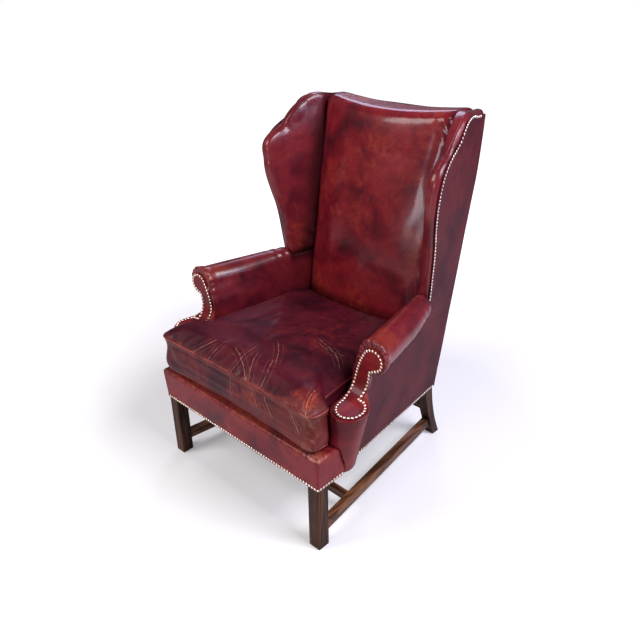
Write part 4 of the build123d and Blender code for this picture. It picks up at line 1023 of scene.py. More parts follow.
@dataclass
class SeatCushion:
    """The loose T-shaped cushion: crowned, worn and scratched, with a topstitched welt."""

    corners: tuple[Point, ...] = (  # across, deep and the corner's radius
        (0.346, -0.408, 0.026),
        (0.346, -0.337, 0.008),
        (0.302, -0.327, 0.008),
        (0.255, 0.161, 0.026),
    )
    seams: tuple[Seam, ...] = (
        Seam("cushion_welt_top", 0.0, 2.3, 0.4),
        Seam("cushion_stitches_top", -0.0085, 0.7, 0.0),
        Seam("cushion_welt_foot", -0.113, 2.0, 0.0),
    )
    corner_line: tuple[Point, Point] = ((0.346, -0.408, 0.34), (0.346, -0.408, 0.48))
    welt_z: float = 0.466
    deck_z: float = 0.3406
    front_y: float = -0.408
    front_depth: float = 0.03
    voxel_mm: float = 6.0
    fullness_mm: float = 2.4
    pressure: float = 4.0
    puff_cap: Point = (0.002, 0.002, 0.012)
    step: float = 0.008
    bend_steps: int = 6
    girdle_clear: float = 0.02
    girdle_reach: float = 0.05
    girdle_turn: int = 3
    girdle_passes: int = 4
    level: Ease = Ease(0.2, 0.8)
    front: Ease = Ease(-0.33, -0.40)
    front_face: Ease = Ease(-0.38, -0.405)
    rightwards: Ease = Ease(-0.25, 0.25)
    foot: Ease = Ease(0.362, 0.343)
    sat_on: tuple[Spot, Spot] = (Spot(0.02, 0.24), Spot(-0.08, 0.22))
    sat_on_mm: float = 4.0
    broad: Lumps = Lumps(150.0, 2.4)
    fine_run: Point = (34.0, 18.0, 10.0)
    fine_mm: float = 0.7
    line_mm: float = 0.6
    fold_mm: float = 1.2
    sag: Waves = Waves((0.0, 0.0, 70.0), 3.0, 7.0, 0.8)
    folded_corner: tuple[Spot, Spot] = (Spot(0.33, 0.11), Spot(-0.40, 0.10))
    folded_edge: Spot = Spot(-0.40, 0.09)
    edge_run: Point = (1.0, 0.4, 0.5)
    middle_run: Point = (0.6, 1.0, 1.0)
    folded_middle: Spot = Spot(-0.1, 0.3)
    ring_turns: float = 260.0
    scuff_turns: float = 520.0
    scuff_lean: float = 60.0
    torn_rates: tuple[float, float] = (70.0, 40.0)
    scuffed_corner: tuple[Spot, Spot] = (Spot(0.335, 0.07), Spot(-0.40, 0.05))
    scuffed_edge: tuple[Spot, Spot] = (Spot(0.470, 0.014), Spot(-0.408, 0.02))
    rubbed_corner: tuple[Spot, Spot] = (Spot(0.33, 0.15), Spot(-0.39, 0.10))
    rubbed_edge: tuple[Spot, Spot] = (Spot(0.466, 0.03), Spot(-0.405, 0.03))
    rubbed_middle: tuple[Spot, Spot] = (Spot(0.1, 0.25), Spot(-0.15, 0.3))
    lines: Creases = Creases(80.0, 3.0)
    edge_creases: Creases = Creases(60.0, 11.0)
    middle_creases: Creases = Creases(70.0, 7.0)
    unevenness: Amount = Amount(0.35, 0.65)
    fold_shares: Point = (0.18, 0.2, 0.15)
    painted_shade_shares: Range = (0.5, 0.6)
    scuff_rings: Amount = Amount(0.12, 0.5)
    scuff_edge: float = 0.30
    torn_shares: Range = (0.4, 0.5)
    rub_front: Amount = Amount(0.45, 0.5)
    rub_shares: Point = (1.5, 0.5, 0.35)

    def outline(self, z: float) -> list[Vector]:
        """Walks round the cushion's plan.

        Args:
            z: the height.

        Returns:
            The points, closed when the last meets the first.
        """
        full = list(self.corners) + [(-x, y, radius) for x, y, radius in reversed(self.corners)]
        points: list[Vector] = []
        for index, (x, y, radius) in enumerate(full):
            here = Vector((x, y, z))
            before = Vector((*full[index - 1][:2], z))
            after = Vector((*full[(index + 1) % len(full)][:2], z))
            start = here + (before - here).normalized() * radius
            end = here + (after - here).normalized() * radius
            for turn in range(self.bend_steps + 1):
                share = turn / self.bend_steps
                points.append(start.lerp(here, share).lerp(here.lerp(end, share), share))
        walked: list[Vector] = []
        for index, point in enumerate(points):
            following = points[(index + 1) % len(points)]
            count = max(1, int((following - point).length / self.step))
            walked += [point.lerp(following, part / count) for part in range(count)]
        return walked

    def build(self, bench: Bench, leather: bpy.types.Material, trim: bpy.types.Material) -> None:
        """Makes the cushion and its welts.

        Args:
            bench: the bench.
            leather: the cushion's leather.
            trim: the welts' leather.
        """
        cushion = bench.stuffed("cushion_core", "seat_cushion", self.voxel_mm, passes=2)
        bench.sculpt(cushion, lambda at, out: out * self.fullness_mm * MM)
        bench.puff(cushion, self.pressure, self.puff_cap)
        bench.sculpt(cushion, self.worn_in)
        bench.sculpt(cushion, lambda at, out: Vector((0, 0, max(0.0, self.deck_z - at.z))))
        laid = cushion.data.attributes.new("laid", "FLOAT_VECTOR", "POINT")
        flat = [part for vertex in cushion.data.vertices for part in self.unrolled(vertex.co)]
        laid.data.foreach_set("vector", flat)
        bench.mark(cushion, "scuff", self.scuffs)
        bench.mark(cushion, "rub", self.rubs)
        # Painted shade in the folds and at the foot of the cushion
        bench.mark(cushion, "painted_shade_and_dark_marks", self.painted_crease_and_foot_shade)
        bench.dress(cushion, leather, "cushion", ("cushion_cover", "cushion_core"))
        for seam in self.seams:
            line = self.girdle(bench, cushion, self.welt_z + seam.rise, seam.proud_mm)
            cord = bench.welt(seam.name, line, seam.radius_mm, closed=True)
            bench.dress(cord, trim, "cushion")

    def girdle(self, bench: Bench, cushion: bpy.types.Object, z: float, proud_mm: float) -> list[Vector]:
        """Lays a level line round the sides of the cushion.

        Args:
            bench: the bench.
            cushion: the finished cushion.
            z: the height of the line.
            proud_mm: how far it stands out.

        Returns:
            Its points.
        """
        tree = bench.tree(cushion)
        ideal = self.outline(z)
        line = []
        for index, point in enumerate(ideal):
            ahead = ideal[(index + self.girdle_turn) % len(ideal)] - ideal[index - self.girdle_turn]
            outward = Vector((ahead.y, -ahead.x, 0)).normalized()
            start = point + outward * self.girdle_clear
            hit, _, _, _ = tree.ray_cast(start, -outward, self.girdle_reach)
            line.append(hit + outward * proud_mm * MM if hit is not None else point)
        for _ in range(self.girdle_passes):
            line = [(line[i - 1] + line[i] * 2 + line[(i + 1) % len(line)]) / 4 for i in range(len(line))]
        return line

    def unrolled(self, at: Vector) -> Point:
        """Where a point lies when the top and the front are laid out flat."""
        below = max(0.0, self.welt_z - at.z) if at.y < self.front_y + self.front_depth else 0.0
        return at.x, max(at.y, self.front_y) - below, 0.0

    def worn_in(self, at: Vector, out: Vector) -> Vector:
        """Wrinkles, dents and the soft front edge.

        Args:
            at: a point of the cushion.
            out: its normal.

        Returns:
            The point's move.
        """
        top = self.level.at(out.z)
        broad = self.broad.at(at)
        fine = noise.noise(at * Vector(self.fine_run)) * self.fine_mm * MM
        lines = -self.lines.at(at) * self.line_mm * MM * top
        seat = -self.sat_on[0].at(at.x) * self.sat_on[1].at(at.y) * self.sat_on_mm * MM
        folds = -self.folds(at) * self.fold_mm * MM
        sag = self.sag.at(at) * (1 - abs(out.z)) * self.front.at(at.y)
        lift = (broad + fine) * self.unevenness.at(top) + lines + folds + sag
        return out * lift + Vector((0, 0, seat * top))

    def painted_crease_and_foot_shade(self, at: Vector, out: Vector) -> float:
        """Painted shade in the folds and at the foot."""
        painted_shade_and_dark_marks, foot = self.painted_shade_shares
        return painted_shade_and_dark_marks * self.folds(at) + foot * self.foot.at(at.z)

    def folds(self, at: Vector) -> float:
        """Rings round the front right corner, and short creases along the front and in the middle.

        Args:
            at: a point of the cushion.

        Returns:
            How deep in a fold the point is.
        """
        ring = math.sin(near_line(at, *self.corner_line) * self.ring_turns)
        corner = max(0.0, ring) ** 3 * self.folded_corner[0].at(at.x) * self.folded_corner[1].at(at.y)
        edge = self.edge_creases.at(at * Vector(self.edge_run)) * self.folded_edge.at(at.y)
        middle = self.middle_creases.at(at * Vector(self.middle_run)) * self.folded_middle.at(at.y)
        return min(1.0, sum(share * part for share, part in zip(self.fold_shares, (corner, edge, middle))))

    def scuffs(self, at: Vector, out: Vector) -> float:
        """Worn through at the front right corner and along the front edge.

        Args:
            at: a point of the cushion.
            out: its normal, not used.

        Returns:
            The scuff mark.
        """
        ring = math.sin(near_line(at, *self.corner_line) * self.scuff_turns + at.z * self.scuff_lean)
        near = self.scuffed_corner[0].at(at.x) * self.scuffed_corner[1].at(at.y)
        corner = near * self.scuff_rings.at(max(0.0, ring) ** 3)
        edge = self.scuffed_edge[0].at(at.z) * self.scuffed_edge[1].at(at.y) * self.scuff_edge
        pairs = zip(self.torn_rates, self.torn_shares)
        fine, coarse = (max(0.0, share + noise.noise(at * rate)) for rate, share in pairs)
        return corner * fine + edge * coarse

    def rubs(self, at: Vector, out: Vector) -> float:
        """Orange wear on the front right corner, the front edge and the middle.

        Args:
            at: a point of the cushion.
            out: its normal, not used.

        Returns:
            The rub mark.
        """
        corner = self.rubbed_corner[0].at(at.x) * self.rubbed_corner[1].at(at.y)
        edge = self.rubbed_edge[0].at(at.z) * self.rubbed_edge[1].at(at.y)
        front = self.front_face.at(at.y) * self.rub_front.at(self.rightwards.at(at.x))
        middle = self.rubbed_middle[0].at(at.x) * self.rubbed_middle[1].at(at.y)
        marks = zip(self.rub_shares, (corner, edge, middle))
        return front + sum(share * part for share, part in marks)


@dataclass
class BackRest:
    """The inside back: one deep crowned pad, seamed to the wings, over the crest."""

    seam_x: float = 0.254
    end_z: float = 1.133
    dip: float = 0.017
    roll: float = 0.028
    lean: float = 0.25
    voxel_mm: float = 5.5
    forwards: Ease = Ease(0.1, 0.6)
    sidewards: Ease = Ease(0.16, 0.25)
    high: Ease = Ease(1.00, 1.09)
    high_side: Ease = Ease(0.19, 0.245)
    broad: Lumps = Lumps(190.0, 3.0)
    crown: Spot = Spot(1.062, 0.075)
    crown_mm: float = 3.0
    sunk_mm: float = 5.0
    pulls: Waves = Waves((150.0, 0.0, 0.0), 4.0, 5.0, 1.2)
    puckers: Waves = Waves((187.0, 0.0, 170.0), 3.0, 8.0, 1.3)
    drift: Ease = Ease(-0.25, 0.35)
    drift_mm: float = 180.0
    inner: Ease = Ease(0.26, 0.20)
    seam_line: Ease = Ease(0.232, 0.252)
    turned: Ease = Ease(0.0, -0.4)
    low: Ease = Ease(0.50, 0.44)
    drift_seed: Point = (4.0, 2.0, 1.0)
    rub_most: float = 0.48
    seam_painted_shade: float = 0.75
    low_painted_shade: float = 0.8

    def build(self, bench: Bench, leather: bpy.types.Material) -> None:
        """Makes the inside back.

        Args:
            bench: the bench.
            leather: its leather.
        """
        pad = bench.stuffed("inside_back", "inside_back_pad", self.voxel_mm, passes=4)
        tree = bench.tree(pad)
        bench.sculpt(pad, lambda at, out: self.rolled_over(tree, at))
        bench.relax(pad, passes=14)
        bench.sculpt(pad, self.pulled)
        bench.mark(pad, "rub", self.rubs)
        # Painted shade at the seams and low down behind the cushion
        bench.mark(pad, "painted_shade_and_dark_marks", self.folds)
        bench.dress(pad, leather, "chair", ("inside_back",))

    def rolled_over(self, tree: BVHTree, at: Vector) -> Vector:
        """Rounds the pad over its top front edge.

        Args:
            tree: the pad's surface before any change.
            at: a point of the pad.

        Returns:
            The point's move.
        """
        crest = self.end_z - self.dip * (1 - (at.x / self.seam_x) ** 2)
        below = crest - at.z
        if below > self.roll:
            return Vector()
        level = crest - self.roll
        hit, _, _, _ = tree.ray_cast(Vector((at.x, -1.0, level)), Vector((0, 1, 0)))
        if hit is None:
            return Vector()
        behind = at.y - hit.y - self.lean * (at.z - level)
        arm = Vector((0, behind - self.roll, self.roll - below))
        if behind > self.roll or arm.length < 1e-6:
            return Vector()
        share = max(abs(arm.y), abs(arm.z)) / arm.length
        return arm * (share - 1)

    def pulled(self, at: Vector, out: Vector) -> Vector:
        """Pull lines of the stretched cover.

        Args:
            at: a point of the pad.
            out: its normal.

        Returns:
            The point's move.
        """
        across = (at.x / self.seam_x) ** 4
        full = (self.crown_mm * self.crown.at(at.z) * (1 - across) - self.sunk_mm * across) * MM
        upright = self.pulls.at(at) * self.sidewards.at(abs(at.x))
        pucker = self.puckers.at(at) * self.high.at(at.z) * self.high_side.at(at.x)
        return out * (self.broad.at(at) + upright + pucker + full) * self.forwards.at(-out.y)

    def rubs(self, at: Vector, out: Vector) -> float:
        """Orange mottling in drifts across the middle."""
        drift = noise.noise(at * per_metre(self.drift_mm) + Vector(self.drift_seed))
        return self.rub_most * self.drift.at(drift) * self.inner.at(abs(at.x))

    def folds(self, at: Vector, out: Vector) -> float:
        """Painted shade: dark lines at the seams and low down behind the cushion."""
        seam = self.seam_line.at(abs(at.x)) * self.turned.at(out.y)
        return self.seam_painted_shade * seam + self.low_painted_shade * self.low.at(at.z)


@dataclass
class Arm:
    """One side's arm: rolled pad, leaning arm front and the nailed keyhole facing."""

    side: Side
    head: tuple[float, float] = (0.379, 0.571)
    lobe: tuple[float, float] = (0.363, -0.277)
    seam_foot: Point = (0.3915, -0.2425, 0.232)
    seam_head: Point = (0.4115, -0.2545, 0.432)
    seam_steps: int = 24
    seam_mm: float = 0.9
    gather_turns: float = 17.0
    gathers: Waves = Waves((0.0, 0.0, 0.0), 2.0, 20.0, 1.1)
    front_end: Ease = Ease(-0.1675, -0.1985)
    gather_end: Ease = Ease(-0.1805, -0.1985)
    puckers: Waves = Waves((0.0, 170.0, 90.0), 4.0, 12.0, 1.2)
    wing_near: Ease = Ease(0.027, 0.097)
    wing_end: Ease = Ease(0.127, 0.107)
    wing_painted_shade: Ease = Ease(0.109, 0.127)
    roll_foot: Ease = Ease(0.50, 0.56)
    broad: Lumps = Lumps(110.0, 2.4)
    lip: Spot = Spot(-0.1985, 0.030)
    lip_mm: float = 5.0
    lip_foot_z: float = 0.47
    pleat_turns: float = 15.0
    pleats: Waves = Waves((0.0, 0.0, 0.0), 2.0, 18.0, 0.9)
    cone_head: Ease = Ease(0.405, 0.445)
    cone_broad: Lumps = Lumps(90.0, 1.6)
    cone_rub: Ease = Ease(0.40, 0.45)
    cone_foot: Ease = Ease(0.36, 0.34)
    cone_inner_x: float = 0.31
    facing_broad: Lumps = Lumps(40.0, 0.35)
    facing_rate: float = 30.0
    upwards: Ease = Ease(0.2, 0.9)
    roll_top: Ease = Ease(0.55, 0.62)
    handled: Ease = Ease(-0.05, -0.19)
    handled_band: Spot = Spot(0.60, 0.04)
    wing_foot: Ease = Ease(0.56, 0.60)
    low: Ease = Ease(0.47, 0.42)
    cone_worn: Amount = Amount(0.2, 0.6)
    facing_worn: Amount = Amount(0.35, 0.5)
    cone_painted_shade_strength: float = 0.5
    top_worn: Amount = Amount(0.20, 0.95)
    band_worn: float = 0.7
    painted_shade_shares: Point = (0.8, 0.6, 0.3)

    def build(self, bench: Bench, leather: bpy.types.Material, front: bpy.types.Material,
              trim: bpy.types.Material) -> None:
        """Makes the pad, the front and the facing.

        Args:
            bench: the bench.
            leather: the leather of the arm.
            front: the leather of its front.
            trim: the leather of its seams.
        """
        name = self.side.name.lower()
        pad = bench.stuffed(self.side.node("arm_pad"), f"arm_roll_{name}", voxel_mm=4.5, passes=6)
        bench.sculpt(pad, self.gathered)
        bench.mark(pad, "rub", self.rubs)
        # Painted shade where the arm meets the wing, in the gathers and low beside the cushion
        bench.mark(pad, "painted_shade_and_dark_marks", self.folds)
        bench.dress(pad, leather, "chair", (self.side.node("arm_pad"),))
        cone = bench.stuffed(self.side.node("arm_front"), f"arm_cone_{name}", voxel_mm=3.5, passes=4)
        bench.sculpt(cone, self.cone_pleats)
        bench.mark(cone, "rub", lambda at, out: self.cone_worn.at(self.cone_rub.at(at.z)))
        # Painted shade at the foot of the arm front, on the cushion's side
        bench.mark(cone, "painted_shade_and_dark_marks", self.cone_painted_shade)
        bench.dress(cone, front, "chair", (self.side.node("arm_front"),))
        facing = bench.panelled(self.side.node("arm_facing"), f"arm_facing_cover_{name}", step_mm=5.0,
                                axes="xyz")
        bench.sculpt(facing, lambda at, out: out * self.facing_broad.at(at))
        bench.mark(facing, "rub", self.facing_rubs)
        bench.dress(facing, front, "chair", (self.side.node("arm_facing"),))
        foot, head = (Vector((self.side.value * x, y, z)) for x, y, z in (self.seam_foot, self.seam_head))
        seam = [foot.lerp(head, part / self.seam_steps) for part in range(self.seam_steps + 1)]
        line = bench.on_surface(cone, seam, lift_mm=0.1)
        cord = bench.welt(f"arm_front_seam_{name}", line, self.seam_mm)
        bench.dress(cord, trim, "chair")

    def around(self, at: Vector) -> float:
        """Angle of a point round the scroll's middle."""
        return math.atan2(at.z - self.head[1], abs(at.x) - self.head[0])

    def gathered(self, at: Vector, out: Vector) -> Vector:
        """Gathers round the scroll, pulls along the roll and puckers at the wing.

        Args:
            at: a point of the pad.
            out: its normal.

        Returns:
            The point's move.
        """
        gather = self.gathers.at(at, self.around(at) * self.gather_turns) * self.front_end.at(at.y)
        near_wing = self.wing_near.at(at.y) * self.roll_foot.at(at.z) * self.wing_end.at(at.y)
        pucker = self.puckers.at(at) * near_wing
        broad = self.broad.at(at, (self.side.value * 3, 0, 0))
        sideways = 1 - max(0.0, -out.y)
        lip = self.lip_mm * MM * self.lip.at(at.y) * sideways * (at.z > self.lip_foot_z)
        return out * (gather + pucker + broad + lip)

    def cone_pleats(self, at: Vector, out: Vector) -> Vector:
        """Small pleats under the facing and a slight swell lower down.

        Args:
            at: a point of the arm front.
            out: its normal.

        Returns:
            The point's move.
        """
        angle = math.atan2(at.y - self.lobe[1], abs(at.x) - self.lobe[0])
        pleat = self.pleats.at(at, angle * self.pleat_turns) * self.cone_head.at(at.z)
        return out * (pleat + self.cone_broad.at(at)) * (1 - abs(out.z))

    def facing_rubs(self, at: Vector, out: Vector) -> float:
        """Worn in patches all over the facing."""
        return self.facing_worn.at(max(0.0, noise.noise(at * self.facing_rate)))

    def cone_painted_shade(self, at: Vector, out: Vector) -> float:
        """Painted shade at the foot of the arm front, on the cushion's side."""
        return self.cone_painted_shade_strength * self.cone_foot.at(at.z) * (abs(at.x) < self.cone_inner_x)

    def rubs(self, at: Vector, out: Vector) -> float:
        """Worn along the top of the roll, most at the front.

        Args:
            at: a point of the pad.
            out: its normal.

        Returns:
            The rub mark.
        """
        top = self.upwards.at(out.z) * self.roll_top.at(at.z)
        front = self.handled.at(at.y)
        return top * self.top_worn.at(front) + self.band_worn * front * self.handled_band.at(at.z)

    def folds(self, at: Vector, out: Vector) -> float:
        """Painted shade where the arm meets the wing, in the gathers and low beside the cushion.

        Args:
            at: a point of the pad.
            out: its normal, not used.

        Returns:
            The fold mark.
        """
        wing = self.wing_painted_shade.at(at.y) * self.wing_foot.at(at.z)
        wave = self.gathers.wave(at, self.around(at) * self.gather_turns)
        gather = max(0.0, -wave) * self.gather_end.at(at.y)
        marks = zip(self.painted_shade_shares, (wing, self.low.at(at.z), gather))
        return sum(share * part for share, part in marks)


@dataclass(frozen=True)
class Lobe:
    """A fuller or hollower place on the wing's edge: where, how wide, and its push outwards."""

    y: float
    z: float
    reach: float
    push_mm: float


@dataclass
class Wing:
    """One side's wing: a soft wedge with a rolled front edge and a seam along the roll."""

    side: Side
    nose: tuple[Point, ...] = (
        (0.305, 0.126, 0.687),
        (0.318, 0.114, 0.788),
        (0.330, 0.095, 0.864),
        (0.336, 0.088, 0.935),
        (0.336, 0.105, 1.009),
        (0.328, 0.160, 1.060),
        (0.320, 0.205, 1.085),
        (0.314, 0.237, 1.119),
        (0.304, 0.280, 1.137),
    )
    lobes: tuple[Lobe, ...] = (
        Lobe(0.190, 1.098, 0.050, 21.0),
        Lobe(0.150, 1.045, 0.030, -9.0),
        Lobe(0.112, 0.985, 0.055, 17.0),
        Lobe(0.088, 0.920, 0.090, 9.0),
        Lobe(0.100, 0.820, 0.080, 4.0),
    )
    right_lobe_share: float = 0.5
    middle: tuple[float, float] = (0.36, 0.86)
    heights: tuple[float, float] = (0.56, 1.14)
    fronts: tuple[float, float] = (0.405, 0.507)
    backs: tuple[float, float] = (0.266, 0.291)
    run: tuple[float, float] = (-0.395, 0.405)
    seam_mm: float = 0.9
    seam_steps: int = 8
    seam_passes: int = 3
    inwards: Ease = Ease(0.1, 0.6)
    broad: Lumps = Lumps(140.0, 3.4)
    pillow: Spot = Spot(0.90, 0.16)
    pillow_mm: float = 5.0
    pillow_rear: Ease = Ease(0.10, 0.17)
    shoulder: Ease = Ease(1.00, 1.12)
    shoulder_mm: float = 12.0
    thick: Ease = Ease(0.024, 0.034)
    foot: Ease = Ease(0.632, 0.606)
    foot_mm: float = 8.0
    neck_top: Ease = Ease(0.72, 0.65)
    neck_foot: Ease = Ease(0.605, 0.63)
    puckers: Waves = Waves((0.0, 60.0, 150.0), 4.0, 10.0, 1.1)
    drift: Ease = Ease(-0.1, 0.5)
    drift_mm: float = 110.0
    lower: Ease = Ease(0.95, 0.75)
    seam_line: Ease = Ease(0.275, 0.258)
    turned: Ease = Ease(-0.2, -0.5)
    foot_painted_shade: Ease = Ease(0.625, 0.605)
    unevenness: Amount = Amount(0.3, 0.7)
    lower_worn: float = 0.75
    all_worn: float = 0.2
    seam_painted_shade: float = 0.6
    foot_painted_shade_most: float = 0.7

    def build(self, bench: Bench, leather: bpy.types.Material, trim: bpy.types.Material) -> None:
        """Makes the wing.

        Args:
            bench: the bench.
            leather: its leather.
            trim: the leather of its seam.
        """
        name = self.side.name.lower()
        pad = bench.stuffed(self.side.node("wing_pad"), f"wing_{name}", voxel_mm=4.5, passes=7)
        bench.sculpt(pad, self.eased)
        bench.mark(pad, "rub", self.rubs)
        # Painted shade at the seam with the inside back and at the foot
        bench.mark(pad, "painted_shade_and_dark_marks", self.folds)
        bench.dress(pad, leather, "chair", (self.side.node("wing_pad"),))
        nose = [Vector((self.side.value * x, y, z)) for x, y, z in self.nose]
        walked: list[Vector] = []
        for start, end in zip(nose, nose[1:]):
            walked += [start.lerp(end, part / self.seam_steps) for part in range(self.seam_steps)]
        line = bench.on_surface(pad, walked, lift_mm=0.1)
        for _ in range(self.seam_passes):
            line = [line[0], *[(a + b * 2 + c) / 4 for a, b, c in zip(line, line[1:], line[2:])], line[-1]]
        cord = bench.welt(f"wing_seam_{name}", line, self.seam_mm)
        bench.dress(cord, trim, "chair")

    def eased(self, at: Vector, out: Vector) -> Vector:
        """Broad soft unevenness, the lobes of the edge and puckers at the neck.

        Args:
            at: a point of the wing.
            out: its normal.

        Returns:
            The point's move.
        """
        inside = self.inwards.at(-out.x * self.side.value)
        broad = self.broad.at(at, (0, self.side.value * 5, 0))
        away = Vector((0, at.y - self.middle[0], at.z - self.middle[1])).normalized()
        swell = sum(lobe.push_mm * Spot(0, lobe.reach).at(math.hypot(at.y - lobe.y, at.z - lobe.z))
                    for lobe in self.lobes)
        if self.side is Side.RIGHT:
            swell *= self.right_lobe_share
        pillow = self.pillow_mm * self.pillow.at(at.z) - self.shoulder_mm * self.shoulder.at(at.z)
        depth = self.outer_x(at.y, at.z) - abs(at.x)
        pillow *= inside * self.pillow_rear.at(at.y) * self.thick.at(depth)
        sink = self.foot_mm * self.foot.at(at.z)
        pucker = self.puckers.at(at) * self.neck_top.at(at.z) * self.neck_foot.at(at.z)
        ease = out * (broad + pucker) * self.unevenness.at(inside)
        inward = Vector((-self.side.value * pillow, 0, -sink))
        return ease + (away * swell + inward) * MM

    def outer_x(self, y: float, z: float) -> float:
        """Works out how far out the wing's outer face stands.

        Args:
            y: how far back.
            z: the height.

        Returns:
            The distance from the chair's middle.
        """
        rise = (z - self.heights[0]) / (self.heights[1] - self.heights[0])
        share = (y - self.run[0]) / (self.run[1] - self.run[0])
        front = self.fronts[0] + (self.fronts[1] - self.fronts[0]) * rise
        back = self.backs[0] + (self.backs[1] - self.backs[0]) * rise
        return front + (back - front) * share

    def rubs(self, at: Vector, out: Vector) -> float:
        """Warm drifts all over the wing, most of them low."""
        drift = self.drift.at(noise.noise(at * per_metre(self.drift_mm) + Vector((9, 0, self.side.value))))
        return self.lower_worn * drift * self.lower.at(at.z) + self.all_worn * drift

    def folds(self, at: Vector, out: Vector) -> float:
        """Painted shade at the seam with the inside back and at the foot."""
        seam = self.seam_line.at(abs(at.x)) * self.turned.at(out.x * self.side.value)
        return self.seam_painted_shade * seam + self.foot_painted_shade_most * self.foot_painted_shade.at(at.z)


@dataclass
class OuterPanels:
    """Side panels, outside back and the front border, stretched flat over card."""

    step_mm: float = 14.0
    border_step_mm: float = 9.0
    waves: Lumps = Lumps(160.0, 1.0)
    ripples: Lumps = Lumps(50.0, 0.25)
    dark_rate: float = 6.0
    border_waves: Lumps = Lumps(100.0, 0.8)
    nail_pitch: float = 0.011
    scallop_mm: float = 0.12
    border_foot: Ease = Ease(0.27, 0.235)
    border_head: Ease = Ease(0.31, 0.33)
    highlight_edge_band: Spot = Spot(0.331, 0.006)
    highlight_front: Ease = Ease(-0.355, -0.375)
    highlight_corner: Ease = Ease(0.28, 0.34)
    edge_scuff: Amount = Amount(0.22, 0.5)
    border_worn: Amount = Amount(0.2, 0.5)
    panel_dark: float = 0.25

    def build(self, bench: Bench, flat: bpy.types.Material, border: bpy.types.Material) -> None:
        """Makes the panels.

        Args:
            bench: the bench.
            flat: the leather of the outside panels.
            border: the leather of the front border.
        """
        for side in Side:
            node = side.node("side_panel")
            panel = bench.panelled(node, f"side_leather_{side.name.lower()}", self.step_mm, "yz")
            bench.sculpt(panel, self.slack)
            bench.mark(panel, "painted_shade_and_dark_marks", self.clouds)
            bench.dress(panel, flat, "chair", (node,))
        back = bench.panelled("outside_back", "outside_back_leather", self.step_mm, "xz")
        bench.sculpt(back, self.slack)
        bench.dress(back, flat, "chair", ("outside_back",))
        apron = bench.panelled("front_border", "front_border_leather", self.border_step_mm, "xyz",
                               crease=50.0)
        bench.sculpt(apron, self.tacked)
        bench.mark(apron, "rub", lambda at, out: self.border_worn.at(self.border_head.at(at.z)))
        # A painted highlight along the border's top edge, drawn as a pale scuff
        bench.mark(apron, "scuff", self.edge_painted_highlight)
        bench.dress(apron, border, "chair", ("front_border",))

    def clouds(self, at: Vector, out: Vector) -> float:
        """Faint dark clouds on the side panels."""
        return self.panel_dark * max(0.0, noise.noise(at * self.dark_rate))

    def edge_painted_highlight(self, at: Vector, out: Vector) -> float:
        """Painted highlight along the border's top edge, most at its right corner."""
        edge = self.highlight_edge_band.at(at.z) * self.highlight_front.at(at.y)
        return edge * self.edge_scuff.at(self.highlight_corner.at(at.x))

    def slack(self, at: Vector, out: Vector) -> Vector:
        """Slight waves of a leather that has dried on its card."""
        return out * (self.waves.at(at) + self.ripples.at(at))

    def tacked(self, at: Vector, out: Vector) -> Vector:
        """Slight scallops over the nails and waves above them."""
        scallop = math.cos(at.x * 2 * math.pi / self.nail_pitch) * self.scallop_mm * MM
        return out * (scallop * self.border_foot.at(at.z) + self.border_waves.at(at))


@dataclass
class SeatDeck:
    """The platform under the cushion, in black cloth, and the dust cover under the seat."""

    hollow_rate: float = 9.0
    hollow_mm: float = 2.0
    cells: int = 40
    side_gap: float = 0.02
    end_gap: float = 0.004
    back_half: float = 0.236
    sag: float = 0.004
    under: float = 0.0004

    def build(self, bench: Bench) -> None:
        """Makes the deck and the dust cover.

        Args:
            bench: the bench.
        """
        cloth = WovenCloth("black_deck_cloth", "#302c2a", "#100e0d").material()
        deck = bench.stuffed("seat_deck", "seat_deck_pad", voxel_mm=6.0, passes=3)
        bench.sculpt(deck, self.hollowed)
        bench.dress(deck, cloth, "chair", ("seat_deck",))
        low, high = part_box("dust_cover")
        front_half = high[0] - self.side_gap
        length = high[1] - low[1] - 2 * self.end_gap
        shape = bmesh.new()
        bmesh.ops.create_grid(shape, x_segments=self.cells, y_segments=self.cells, size=0.5)
        for vertex in shape.verts:
            share = vertex.co.y + 0.5
            half = front_half + (self.back_half - front_half) * share
            sag = self.sag * (1 - (2 * share - 1) ** 2) * (1 - (2 * vertex.co.x) ** 2)
            y = low[1] + self.end_gap + length * share
            vertex.co = Vector((vertex.co.x * 2 * half, y, high[2] - self.under - sag))
        mesh = bpy.data.meshes.new("dust_cover_cloth")
        shape.to_mesh(mesh)
        shape.free()
        mesh.shade_smooth()
        cover = bench.fresh("dust_cover_cloth", mesh)
        bench.dress(cover, cloth, "chair", ("dust_cover",))

    def hollowed(self, at: Vector, out: Vector) -> Vector:
        """Shallow hollows where the deck has been sat on."""
        return out * min(0.0, noise.noise(at * self.hollow_rate)) * self.hollow_mm * MM


@dataclass(frozen=True)
class SoftBox:
    """A square lamp: where it hangs, what it faces, its size, its power in watts, its colour."""

    name: str
    place: Point
    target: Point
    size: float
    power: float
    colour: str


